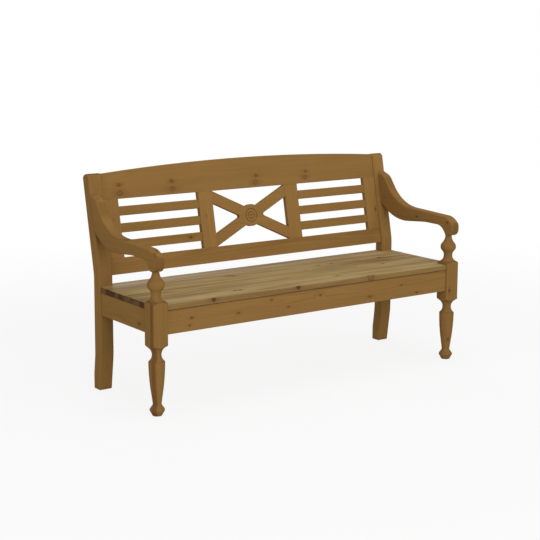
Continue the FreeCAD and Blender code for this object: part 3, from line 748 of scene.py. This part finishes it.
FRAME_PINE = PineFinish(
    "Frame_Pine", "frame_pine", early=(143, 108, 60), late=(119, 87, 46), end=(124, 90, 46),
    knot=(82, 50, 30), ring=(106, 72, 41), corner=(112, 81, 42), gloss=0.82, sheen=0.025, corner_reach=1.3)
TURNED_PINE = replace(FRAME_PINE, name="Turned_Pine", early=(137, 103, 57), late=(115, 84, 44),
                      corner=(118, 86, 43), corner_reach=2.2)
# Arms and posts have wider darkened arrises: partly wear, partly painted shade.
BROAD_WEAR_SHADE_PINE = replace(FRAME_PINE, name="Broad_Wear_Shade_Pine", early=(141, 106, 59), corner=(112, 81, 41),
                       corner_reach=3.2)
POST_PINE = replace(BROAD_WEAR_SHADE_PINE, corner_reach=2.0)
# The seat's faces that look forward take a darker colour than its top: painted shade.
SEAT_PINE = PineFinish(
    "Plank_Pine", "seat_pine", early=(173, 149, 100), late=(122, 95, 53), end=(74, 46, 28), knot=(62, 32, 19),
    ring=(110, 78, 43), corner=(118, 92, 54), edge=(142, 112, 66), streaking=0.56, sheen=0.08, ring_width=3.6,
    relief=0.4, corner_reach=2.0)
HIDDEN_PINE = PineFinish(
    "Hidden_Pine", "hidden_pine", early=(190, 156, 106), late=(150, 112, 66), end=(138, 100, 60),
    knot=(104, 66, 40), ring=(150, 108, 64), corner=(160, 124, 80))
BEECH = PineFinish(
    "Beech_Dowel", "beech_dowel", early=(196, 160, 118), late=(176, 136, 96), end=(150, 112, 78),
    knot=(130, 90, 60), ring=(160, 120, 80), corner=(180, 142, 104), gloss=0.5, ring_width=1.6, wander=6.0)
ZINC = ZincFinish()


@dataclass
class Workshop:
    """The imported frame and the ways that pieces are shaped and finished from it."""

    frame: dict
    groups: WoodGroups
    merge_distance: float = 0.000004
    flat_angle: float = 0.4
    corner_angle: float = 32.0
    ease_steps: int = 2

    def dress(self, piece: Object, material: Material) -> Object:
        """Gives a piece its one material.

        Args:
            piece: the piece.
            material: its finish.

        Returns:
            The same piece.
        """
        piece.data.materials.clear()
        piece.data.materials.append(material)
        return piece

    def ease(self, node: str, width: float) -> Object:
        """Makes a copy of a CAD node with rounded arrises.

        Args:
            node: the node's name.
            width: width of the rounding.

        Returns:
            The copy, with a plain mesh.
        """
        source = self.frame["nodes"][node].data
        mesh = bpy.data.meshes.new(node + "_eased")
        mesh.from_pydata([v.co for v in source.vertices], [], [tuple(p.vertices) for p in source.polygons])
        work = bmesh.new()
        work.from_mesh(mesh)
        bmesh.ops.remove_doubles(work, verts=work.verts, dist=self.merge_distance)
        bmesh.ops.dissolve_limit(work, angle_limit=math.radians(self.flat_angle), verts=work.verts,
                                 edges=work.edges)
        work.to_mesh(mesh)
        work.free()
        piece = new_object(node + "_eased", mesh)
        bevel = piece.modifiers.new("Eased arrises", "BEVEL")
        bevel.width = width * MM
        bevel.segments = self.ease_steps
        bevel.limit_method = "ANGLE"
        bevel.angle_limit = math.radians(self.corner_angle)
        mesh.shade_smooth()
        weighted = piece.modifiers.new("Flat faces stay flat", "WEIGHTED_NORMAL")
        weighted.keep_sharp = True
        return plain_mesh(piece)

    def make(self, wood: Timber, finish: PineFinish, width: float) -> Object:
        """Finishes a wooden node, or a copy with rounded arrises that is shown in its place.

        Args:
            wood: the piece.
            finish: its finish.
            width: width of the rounding.

        Returns:
            The finished object.
        """
        low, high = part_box(wood.node)
        piece = self.ease(wood.node, width) if wood.eased else self.frame["nodes"][wood.node]
        self.dress(piece, finish.material(self.groups, wood, (low + high) / 2))
        if wood.eased:
            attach(piece, "root")
            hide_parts(wood.node)
        return piece


def plain_mesh(piece: Object) -> Object:
    """Turns an object and its modifiers into a plain mesh.

    Args:
        piece: the object with live modifiers.

    Returns:
        The same object with the result as its mesh and no modifiers.
    """
    bpy.context.view_layer.update()
    graph = bpy.context.evaluated_depsgraph_get()
    made = bpy.data.meshes.new_from_object(piece.evaluated_get(graph))
    name = piece.data.name
    piece.modifiers.clear()
    piece.data = made
    made.name = name
    return piece


class GeometryTree(Wiring):
    """A Geometry Nodes tree with named inputs."""

    FAMILY = "GeometryNode"
    KINDS = {int: "Int", float: "Float", Vector: "Vector", Material: "Material"}

    def __init__(self, name: str, inputs: dict[str, object]) -> None:
        """Starts the tree.

        Args:
            name: the tree's name.
            inputs: the value of each named input.
        """
        tree = bpy.data.node_groups.new(name, "GeometryNodeTree")
        tree.interface.new_socket(name="Geometry", in_out="INPUT", socket_type="NodeSocketGeometry")
        for label, value in inputs.items():
            kind = self.KINDS[type(value)]
            socket = tree.interface.new_socket(name=label, in_out="INPUT", socket_type="NodeSocket" + kind)
            if kind != "Material":
                socket.default_value = value
        tree.interface.new_socket(name="Geometry", in_out="OUTPUT", socket_type="NodeSocketGeometry")
        super().__init__(tree)
        self.values = inputs
        self.given = self.add("NodeGroupInput").outputs
        self.result = self.add("NodeGroupOutput")

    def xyz(self, **parts: Feed) -> Socket:
        """Joins the numbers X, Y and Z into a vector."""
        return self.wire(self.add("ShaderNodeCombineXYZ"), **parts).outputs[0]

    def finish(self, geometry: Socket) -> None:
        """Ends the tree in Realize Instances and Set Material.

        Args:
            geometry: what the tree has made.
        """
        real = self.make("RealizeInstances", Geometry=geometry)
        dressed = self.make("SetMaterial", Geometry=real, Material=self.given["Finish"])
        self.feed(self.result.inputs[0], dressed)

    def grow(self, name: str, seeds: Mesh) -> Object:
        """Runs the tree on a mesh and keeps the result as a plain mesh.

        Args:
            name: the piece's name.
            seeds: the mesh that the tree starts from.

        Returns:
            The piece.
        """
        piece = new_object(name, seeds)
        modifier = piece.modifiers.new("Grown", "NODES")
        modifier.node_group = self.tree
        for item in self.tree.interface.items_tree:
            if item.item_type == "SOCKET" and item.in_out == "INPUT" and item.name in self.values:
                modifier[item.identifier] = self.values[item.name]
        return plain_mesh(piece)


def seed_points(name: str, places: Sequence[Place], ways: Sequence[Place] = ()) -> Mesh:
    """Makes a mesh of loose points for a tree to build on.

    Args:
        name: the mesh's name.
        places: the points.
        ways: the way that each point's piece faces, where that matters.

    Returns:
        The mesh.
    """
    mesh = bpy.data.meshes.new(name)
    mesh.from_pydata([Vector(place) * MM for place in places], [], [])
    if ways:
        facing = mesh.attributes.new("facing", "FLOAT_VECTOR", "POINT")
        for entry, way in zip(facing.data, ways):
            entry.vector = Vector(way).normalized()
    return mesh


@dataclass
class Joinery:
    """A sub-assembly of wooden pieces: their finish, the width of their rounded arrises, and the pieces."""

    finish: PineFinish
    width: float
    pieces: tuple[Timber, ...]

    def build(self, shop: Workshop) -> list[Object]:
        """Makes the pieces in their order."""
        return [shop.make(piece, self.finish, self.width) for piece in self.pieces]


@dataclass
class TurnedLegs(Joinery):
    """The two front legs, turned from square blanks."""

    finish: PineFinish = TURNED_PINE
    width: float = 0.0
    pieces: tuple[Timber, ...] = (
        Timber("front_leg_left", UPRIGHT, (48.0, 30.0), 1.3, (Knot(-727, -240, 360, 7, ROUND),),
               heart=Heart(-765.0, -251.7, (-0.81, -0.586), 13.0, 475.0), eased=False),
        Timber("front_leg_right", UPRIGHT, (48.0, 30.0), 2.6, (
            Knot(746, -287, 325, 6.5), Knot(757, -275, 96, 6.0, FRONT, 0.7),
            Knot(803, -240, 400, 6, ROUND, 0.8)), eased=False))


@dataclass
class BentPosts(Joinery):
    """The two rear posts, sawn to a bent outline."""

    finish: PineFinish = POST_PINE
    width: float = 3.0
    pieces: tuple[Timber, ...] = (
        Timber("rear_post_left", UPRIGHT, (70.0, 24.0), 2.1, (
            Knot(-765, 345, 700, 9, ROUND), Knot(-727, 235, 240, 7, ROUND)), early=(140, 105, 58)),
        Timber("rear_post_right", UPRIGHT, (70.0, 24.0), 3.1, (
            Knot(803, 230, 280, 8, ROUND), Knot(803, 240, 780, 6, ROUND, 0.8)), early=(148, 112, 62)))


@dataclass
class ScrollArms(Joinery):
    """The two scroll arms, sawn from laminated boards."""

    finish: PineFinish = BROAD_WEAR_SHADE_PINE
    width: float = 3.2
    pieces: tuple[Timber, ...] = (
        Timber("arm_left", DEEP, (58.0, 80.0), 4.2, (
            Knot(-752, -91, 666, 5, TOP, 0.7), Knot(-763, -256, 654, 5, TOP, 0.9),
            Knot(-740, 60, 720, 6, ROUND, 0.6)),
               DarkLines((668.0,)), Heart(-781.5, -279.0, (0.0, -1.0), 9.5)),
        Timber("arm_right", DEEP, (-60.0, 75.0), 5.4, (
            Knot(747, -259, 633, 5, SIDE), Knot(747, -55, 635, 5, SIDE),
            Knot(790, 70, 720, 7, ROUND, 0.8)), DarkLines((702.0,))))


@dataclass
class SlatLadders:
    """The slats of the outer fields: one slat, repeated up each field by a tree."""

    count: int = 3
    fields: int = 2
    length: float = 391.9
    height: float = 39.0
    thickness: float = 16.0
    ease: float = 1.5
    ease_steps: int = 4
    pitch: float = 71.0
    field_distance: float = 926.0
    first: Place = (-463.0, 203.98, 601.08)
    wood: Timber = Timber("slats", ALONG, (40.0, 30.0), 7.7, (
        Knot(-326, 196, 604, 7.0, FRONT, 0.85), Knot(440, 212, 712, 4.0, FRONT, 0.3)))

    def build(self, shop: Workshop) -> Object:
        """Grows the six slats.

        Args:
            shop: the frame and its finishes.

        Returns:
            The one piece of six slats.
        """
        first = Vector(self.first) * MM
        tree = GeometryTree("Slat Ladder", {
            "Slats": self.count, "Fields": self.fields, "Length": self.length * MM,
            "Height": self.height * MM, "Thickness": self.thickness * MM,
            "Ease": self.ease * MM, "Pitch": self.pitch * MM,
            "Field Distance": self.field_distance * MM, "Lean": -RAKE,
            "First Slat": first,
            "Finish": FRAME_PINE.material(shop.groups, self.wood, first)})
        g = tree.given
        outline = tree.make("CurvePrimitiveQuadrilateral", Width=g["Thickness"], Height=g["Height"])
        rounded = tree.make("FilletCurve", Curve=outline, Radius=g["Ease"], Count=self.ease_steps,
                            settings={"mode": "POLY"})
        length = tree.xyz(X=g["Length"])
        middle_line = tree.make("CurvePrimitiveLine", Start=tree.vector("SCALE", length, -0.5),
                                End=tree.vector("SCALE", length, 0.5))
        slat = tree.make("CurveToMesh", Curve=middle_line, Profile_Curve=rounded, Fill_Caps=True)
        steps = tree.make("MeshLine", Count=g["Slats"], Offset=tree.xyz(Z=g["Pitch"]))
        ladder = tree.make("InstanceOnPoints", Points=steps, Instance=slat)
        leaned = tree.make("Transform", Geometry=ladder, Rotation=tree.xyz(X=g["Lean"]))
        bays = tree.make("MeshLine", Count=g["Fields"], Start_Location=g["First Slat"],
                         Offset=tree.xyz(X=g["Field Distance"]))
        tree.finish(tree.make("InstanceOnPoints", Points=bays, Instance=leaned))
        piece = tree.grow("back_slats", seed_points("slat_seed", ((0, 0, 0),)))
        piece.data.shade_smooth()
        piece.modifiers.new("Flat faces stay flat", "WEIGHTED_NORMAL")
        piece = plain_mesh(piece)
        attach(piece, "root")
        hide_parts(*[f"back_slat_{row}_{side}" for row in ("lower", "middle", "upper")
                             for side in ("left", "right")])
        return piece


@dataclass
class RakedBack(Joinery):
    """Crest, bottom rail, stiles, mullions, slats and the fretted cross."""

    finish: PineFinish = FRAME_PINE
    width: float = 0.6
    pieces: tuple[Timber, ...] = (
        Timber("crest_rail", ALONG, (46.0, 104.0), 0.0, (
            *row(240, (-647.5, 848.4, 8.5), (-390.5, 847.4, 9.0), (47.7, 842.5, 8.5), (325.3, 844.5, 7.5),
                 strength=0.72, hollow=0.2),
            *row(240, (-648.0, 814.8, 12.5), (-391.0, 814.3, 12.5), (41.0, 813.9, 12.5), (317.4, 818.5, 11.0),
                 strength=0.68, hollow=0.9))),
        Timber("back_bottom_rail", ALONG, (60.0, -35.0), 9.1),
        Timber("back_cross", ALONG, (70.0, 10.0), 11.7, early=(146, 110, 61), eased=False,
               lines=DarkLines((29.0, 15.5, 4.0), 1.6, 0.48, centre=(0.0, 218.3, 670.6))),
        Timber("back_stile_left", RAKED, (60.0, 45.0), 12.4, row(216, (-690.5, 711, 4.5), strength=0.4),
               early=(149, 113, 63)),
        Timber("back_stile_right", RAKED, (35.0, 45.0), 14.3, row(202, (713.6, 643.5, 6.0), strength=0.85),
               early=(149, 113, 63)),
        Timber("back_mullion_left", RAKED, (60.0, 45.0), 16.2, row(212, (-236, 688, 5), strength=0.4),
               early=(149, 113, 63)),
        Timber("back_mullion_right", RAKED, (35.0, 45.0), 18.1, early=(149, 113, 63)))

    def build(self, shop: Workshop) -> list[Object]:
        """Makes the pieces of the back, and then the slats."""
        return [*super().build(shop), SlatLadders().build(shop)]


@dataclass
class PlankSeat(Joinery):
    """The four tongued and grooved boards of the seat, with painted shade under the front edge and a dark line at
    each joint.
    """

    finish: PineFinish = SEAT_PINE
    width: float = 1.1
    pieces: tuple[Timber, ...] = (
        # The dark line at the foot of the front edge is painted shade under the edge.
        Timber("seat_board_1", ALONG, (30.0, 55.0), 21.0, (
            Knot(-516.5, -281, 442, 10.0, TAPERED), Knot(-101, -281, 442, 9.5, TAPERED),
            Knot(289, -279, 442, 18.0, TAPERED, 0.5, 0.5), Knot(306, -272, 443, 6.5, TOP, 0.8),
            Knot(172, -192, 443, 7.0, TOP), Knot(-364, -202, 443, 8.0, TOP, 0.9),
            Knot(-343, -205, 443, 9.0, TOP)), DarkLines((419.6,), 3.4, 0.55), early=(174, 150, 101)),
        Timber("seat_board_2", ALONG, (-20.0, 48.0), 23.7, (Knot(522, -85, 443, 7.0, TOP),),
               DarkLines((-158.0,), 1.8, 0.5, (0.0, 1.0, 0.0)), early=(170, 145, 97)),
        Timber("seat_board_3", ALONG, (44.0, 60.0), 26.4, (
            Knot(609, 42, 443, 8.0, TOP), Knot(696, -20, 443, 6.0, TOP, 0.4),
            Knot(327, 46, 443, 7.0, TOP), Knot(250, 43, 443, 7.5, TOP, 0.9),
            Knot(-200, 54, 443, 11.0, TOP), Knot(-222, 68, 443, 11.0, TOP, 0.9, 0.7),
            Knot(129, -20, 443, 5.0, TOP, 0.5)),
               DarkLines((-36.7,), 1.8, 0.5, (0.0, 1.0, 0.0)), early=(176, 152, 103)),
        Timber("seat_board_4", ALONG, (8.0, 42.0), 29.1, early=(172, 147, 99),
               lines=DarkLines((84.5,), 1.8, 0.5, (0.0, 1.0, 0.0))))


@dataclass
class Aprons(Joinery):
    """The four aprons under the seat."""

    finish: PineFinish = FRAME_PINE
    width: float = 1.3
    pieces: tuple[Timber, ...] = (
        Timber("front_apron", ALONG, (75.0, -25.0), 31.0, row(
            -277, (-619, 375.7, 6.5), (-628, 347.5, 5.0), (-397, 367.5, 5.5), (-234.6, 400, 4.5),
            (-148.7, 361, 5.0), (17.4, 391, 5.5), (288.5, 350.6, 6.5), (467, 382, 5.0), (557.5, 338, 5.5),
            strength=0.75)),
        Timber("rear_apron", ALONG, (-70.0, 30.0), 33.5,
               row(200, (-300, 370, 6.5), (410, 350, 7.0), (20, 392, 5.0))),
        Timber("side_apron_left", DEEP, (62.0, 20.0), 35.2, (Knot(-783, -149.5, 350, 6.0, SIDE, 0.8),)),
        Timber("side_apron_right", DEEP, (-62.0, -20.0), 37.9, (Knot(783, 20, 360, 6.0, SIDE, 0.9),)))


@dataclass
class SeatBearings(Joinery):
    """Bearers and corner braces under the seat, in bare pine."""

    finish: PineFinish = HIDDEN_PINE
    width: float = 1.0
    pieces: tuple[Timber, ...] = (
        Timber("seat_bearer_1", DEEP, (40.0, 26.0), 41.0, (Knot(-480, -60, 394, 6.0, TOP),)),
        Timber("seat_bearer_2", DEEP, (40.0, 33.0), 42.7, (Knot(0, 10, 394, 6.0, TOP),)),
        Timber("seat_bearer_3", DEEP, (40.0, 40.0), 44.4, (Knot(480, 80, 394, 6.0, TOP),)),
        Timber("front_brace_left", ALONG, (45.0, 30.0), 47.0, eased=False),
        Timber("front_brace_right", ALONG, (45.0, 35.0), 49.3, eased=False),
        Timber("rear_brace_left", ALONG, (45.0, 40.0), 51.6, eased=False),
        Timber("rear_brace_right", ALONG, (45.0, 45.0), 53.9, eased=False))


@dataclass
class Fixings:
    """Dowels, lag screws, their washers and the bearers' wood screws.

    A head's slots are as long as some of its radii, and lie below its middle by some of its heights. Their
    turn and their two depths keep the bars that cut them from sharing a plane.
    """

    dowels: Timber = Timber("arm_dowels", DEEP, (12.0, 9.0), 61.0, eased=False)
    washer_radius: float = 10.5
    washer_rim: float = 3.2
    washer_thickness: float = 1.4
    washer_sides: int = 40
    washer_ease: float = 0.3
    head_radius: float = 4.3
    head_taper: float = 0.8
    head_height: float = 1.5
    head_sides: int = 32
    head_sunk: float = 0.6
    bearer_foot: float = 394.0
    slot_width: float = 1.2
    slot_length: float = 1.15
    slot_turn: float = 0.46
    slot_depths: tuple[float, float] = (-0.7, -0.66)
    front_place: Place = (709.53, -203.25, 364.0)
    rear_place: Place = (718.03, 138.31, 364.0)
    screw_rows: tuple[float, float] = (-219.1, 144.7)
    screw_columns: tuple[float, ...] = (-480.0, 0.0, 480.0)

    def _washers(self) -> Object:
        """Grows the washers under the lag screws' heads.

        Returns:
            The piece of four washers.
        """
        side = math.sqrt(0.5)
        places, ways = [], []
        for (x, y, z), sign in ((self.front_place, -1), (self.rear_place, 1)):
            for mirror in (1, -1):
                way = Vector((mirror * side, sign * side, 0.0))
                places.append(tuple(Vector((mirror * x, y, z)) - way * self.washer_thickness / 2))
                ways.append(tuple(way))
        tree = GeometryTree("Washers", {
            "Radius": self.washer_radius * MM, "Thickness": self.washer_thickness * MM,
            "Rim": self.washer_rim * MM, "Finish": ZINC.material("washers")})
        g = tree.given
        ring = tree.make("CurvePrimitiveCircle", Resolution=self.washer_sides,
                         Radius=tree.math("SUBTRACT", g["Radius"], tree.math("MULTIPLY", g["Rim"], 0.5)))
        section = tree.make("CurvePrimitiveQuadrilateral", Width=g["Rim"], Height=g["Thickness"])
        ease = tree.math("MULTIPLY", g["Thickness"], self.washer_ease)
        rounded = tree.make("FilletCurve", Curve=section, Radius=ease, Count=2, settings={"mode": "POLY"})
        washer = tree.make("CurveToMesh", Curve=ring, Profile_Curve=rounded)
        facing = tree.make("InputNamedAttribute", settings={"data_type": "FLOAT_VECTOR"}, Name="facing")
        turn = tree.wire(tree.add("FunctionNodeAlignEulerToVector", axis="Z"), Vector=facing).outputs[0]
        tree.finish(tree.make("InstanceOnPoints", Points=g["Geometry"], Instance=washer, Rotation=turn))
        return tree.grow("lag_screw_washers", seed_points("washer_seeds", places, ways))

    def _screw_heads(self) -> Object:
        """Grows the dished, cross-recessed heads of the bearers' screws.

        Returns:
            The piece of six heads.
        """
        height = self.bearer_foot - self.head_height / 2 + self.head_sunk
        tree = GeometryTree("Cross Recess Heads", {
            "Radius": self.head_radius * MM, "Height": self.head_height * MM,
            "Recess": self.slot_width * MM, "Finish": ZINC.material("screw_heads")})
        g = tree.given
        head = tree.make("MeshCone", "Mesh", Vertices=self.head_sides, Radius_Bottom=g["Radius"],
                         Radius_Top=tree.math("MULTIPLY", g["Radius"], self.head_taper), Depth=g["Height"])
        carved = tree.make("Transform", Geometry=head, Rotation=(math.pi, 0.0, 0.0))
        bar = tree.make("MeshCube", "Mesh", Size=tree.xyz(
            X=tree.math("MULTIPLY", g["Radius"], self.slot_length), Y=g["Recess"], Z=g["Height"]))
        for index, depth in enumerate(self.slot_depths):
            turn = (0.0, 0.0, self.slot_turn + index * math.pi / 2)
            laid = tree.make("Transform", Geometry=bar, Rotation=turn,
                             Translation=tree.xyz(Z=tree.math("MULTIPLY", g["Height"], depth)))
            carved = tree.make("MeshBoolean", settings={"operation": "DIFFERENCE"},
                               Mesh_1=carved, Mesh_2=laid)
        tree.finish(tree.make("InstanceOnPoints", Points=g["Geometry"], Instance=carved))
        places = [(x, y, height) for x in self.screw_columns for y in self.screw_rows]
        return tree.grow("bearer_screw_heads", seed_points("screw_seeds", places))

    def build(self, shop: Workshop) -> list[Object]:
        """Makes the fixings.

        Args:
            shop: the frame and its finishes.

        Returns:
            The dowels, the screws and what is grown on them.
        """
        made = [shop.make(self.dowels, BEECH, 0.0)]
        for name in ("brace_bolts", "bearer_screws"):
            made.append(shop.dress(shop.frame["nodes"][name], ZINC.material(name)))
        for piece in (self._washers(), self._screw_heads()):
            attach(piece, "root")
            made.append(piece)
        return made


@dataclass(frozen=True)
class Softbox:
    """A square lamp: its name, place and width in metres, and its power in watts."""

    name: str
    place: Place
    size: float
    power: float


@dataclass
class Studio:
    """Pale floor, soft lamps and the photograph's camera, in metres and degrees."""

    place: Place = (-3.22537, -4.46509, 1.51785)
    yaw: float = 35.445
    pitch: float = 9.714
    roll: float = 0.207
    lens: float = 85.845
    frame_shift: float = -0.05
    daylight: float = 0.36
    aim: Place = (0.0, 0.0, 0.45)
    floor_radius: float = 30.0
    floor_height: float = -0.0005
    floor_tone: tuple[float, float, float, float] = (0.74, 0.74, 0.735, 1.0)
    fade: tuple[float, float] = (1.3, 4.0)
    least_white: float = 0.86
    lamps: tuple[Softbox, ...] = (
        Softbox("Key_Softbox", (-1.2, -8.3, 5.0), 4.4, 242.0),
        Softbox("Right_Softbox", (3.4, -7.4, 3.6), 2.4, 110.0),
        Softbox("Near_Softbox", (-1.9, -4.2, 1.8), 1.8, 18.0),
        Softbox("Top_Softbox", (0.0, -0.4, 4.2), 3.0, 48.0),
        Softbox("Side_Softbox", (-8.0, -1.6, 1.05), 1.8, 108.0),
        Softbox("Back_Softbox", (3.0, 8.0, 3.5), 3.0, 150.0))

    def camera(self) -> None:
        """Sets up the camera at the photograph's place."""
        yaw, pitch, roll = (math.radians(angle) for angle in (self.yaw, self.pitch, self.roll))
        ahead = Vector((math.sin(yaw) * math.cos(pitch), math.cos(yaw) * math.cos(pitch), -math.sin(pitch)))
        level = Vector((math.cos(yaw), -math.sin(yaw), 0.0))
        above = level.cross(ahead)
        right = level * math.cos(roll) + above * math.sin(roll)
        up = above * math.cos(roll) - level * math.sin(roll)
        data = bpy.data.cameras.new("Camera")
        data.sensor_width = 36.0
        data.lens = self.lens
        data.shift_y = self.frame_shift
        camera = new_object("Camera", data)
        turn = Matrix((right, up, -ahead)).transposed().to_4x4()
        camera.matrix_world = Matrix.Translation(self.place) @ turn
        bpy.context.scene.camera = camera

    def hang(self, lamp: Softbox) -> None:
        """Hangs a softbox so that it faces the seat.

        Args:
            lamp: the softbox.
        """
        data = bpy.data.lights.new(lamp.name, "AREA")
        data.shape = "SQUARE"
        data.size = lamp.size
        data.energy = lamp.power
        hung = new_object(lamp.name, data)
        hung.location = lamp.place
        hung.rotation_mode = "QUATERNION"
        hung.rotation_quaternion = (Vector(self.aim) - Vector(lamp.place)).to_track_quat("-Z", "Y")

    def floor(self) -> None:
        """Lays a wide pale floor that fades out to white."""
        mesh = bpy.data.meshes.new("floor")
        work = bmesh.new()
        bmesh.ops.create_circle(work, cap_ends=True, segments=96, radius=self.floor_radius)
        bmesh.ops.translate(work, verts=work.verts, vec=(0.0, 0.0, self.floor_height))
        work.to_mesh(mesh)
        work.free()
        floor = new_object("floor", mesh)
        material, w = new_material("Pale_Floor")
        matt = w.make("BsdfDiffuse", Color=self.floor_tone)
        white = w.make("Emission", Strength=1.0)
        distance = w.vector("LENGTH", w.make("TexCoord", "Object"))
        mix = w.add("ShaderNodeMixShader")
        share = w.math("MULTIPLY", w.step(distance, *self.fade, self.least_white, 1.0), w.seen())
        for socket, value in zip(mix.inputs, (share, matt, white)):
            w.feed(socket, value)
        w.end(mix.outputs[0])
        floor.data.materials.append(material)

    def surround(self) -> None:
        """Surrounds the bench with soft white light, and with plain white where it is seen."""
        world = bpy.data.worlds.new("Studio")
        world.use_nodes = True
        bpy.context.scene.world = world
        w = Wiring(world.node_tree)
        w.tree.nodes.clear()
        strength = w.math("MULTIPLY_ADD", w.seen(), 1.0 - self.daylight, self.daylight)
        w.end(w.make("Background", Color=(1.0, 1.0, 1.0, 1.0), Strength=strength), "World")

    def build(self) -> None:
        """Sets up the whole studio."""
        bpy.context.scene.view_settings.view_transform = "Standard"
        self.camera()
        self.floor()
        self.surround()
        for lamp in self.lamps:
            self.hang(lamp)


def main() -> None:
    """Builds the looks of the bench, piece by piece."""
    logging.basicConfig(level=logging.INFO, format="%(name)s: %(message)s")
    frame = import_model()
    Studio().build()
    shop = Workshop(frame, WoodGroups())
    for part in (TurnedLegs(), BentPosts(), ScrollArms(), RakedBack(), PlankSeat(), Aprons(), SeatBearings(),
                 Fixings()):
        for piece in part.build(shop):
            log.info("%s: %s, %d faces", type(part).__name__, piece.name, len(piece.data.polygons))


if __name__ == "__main__":
    main()
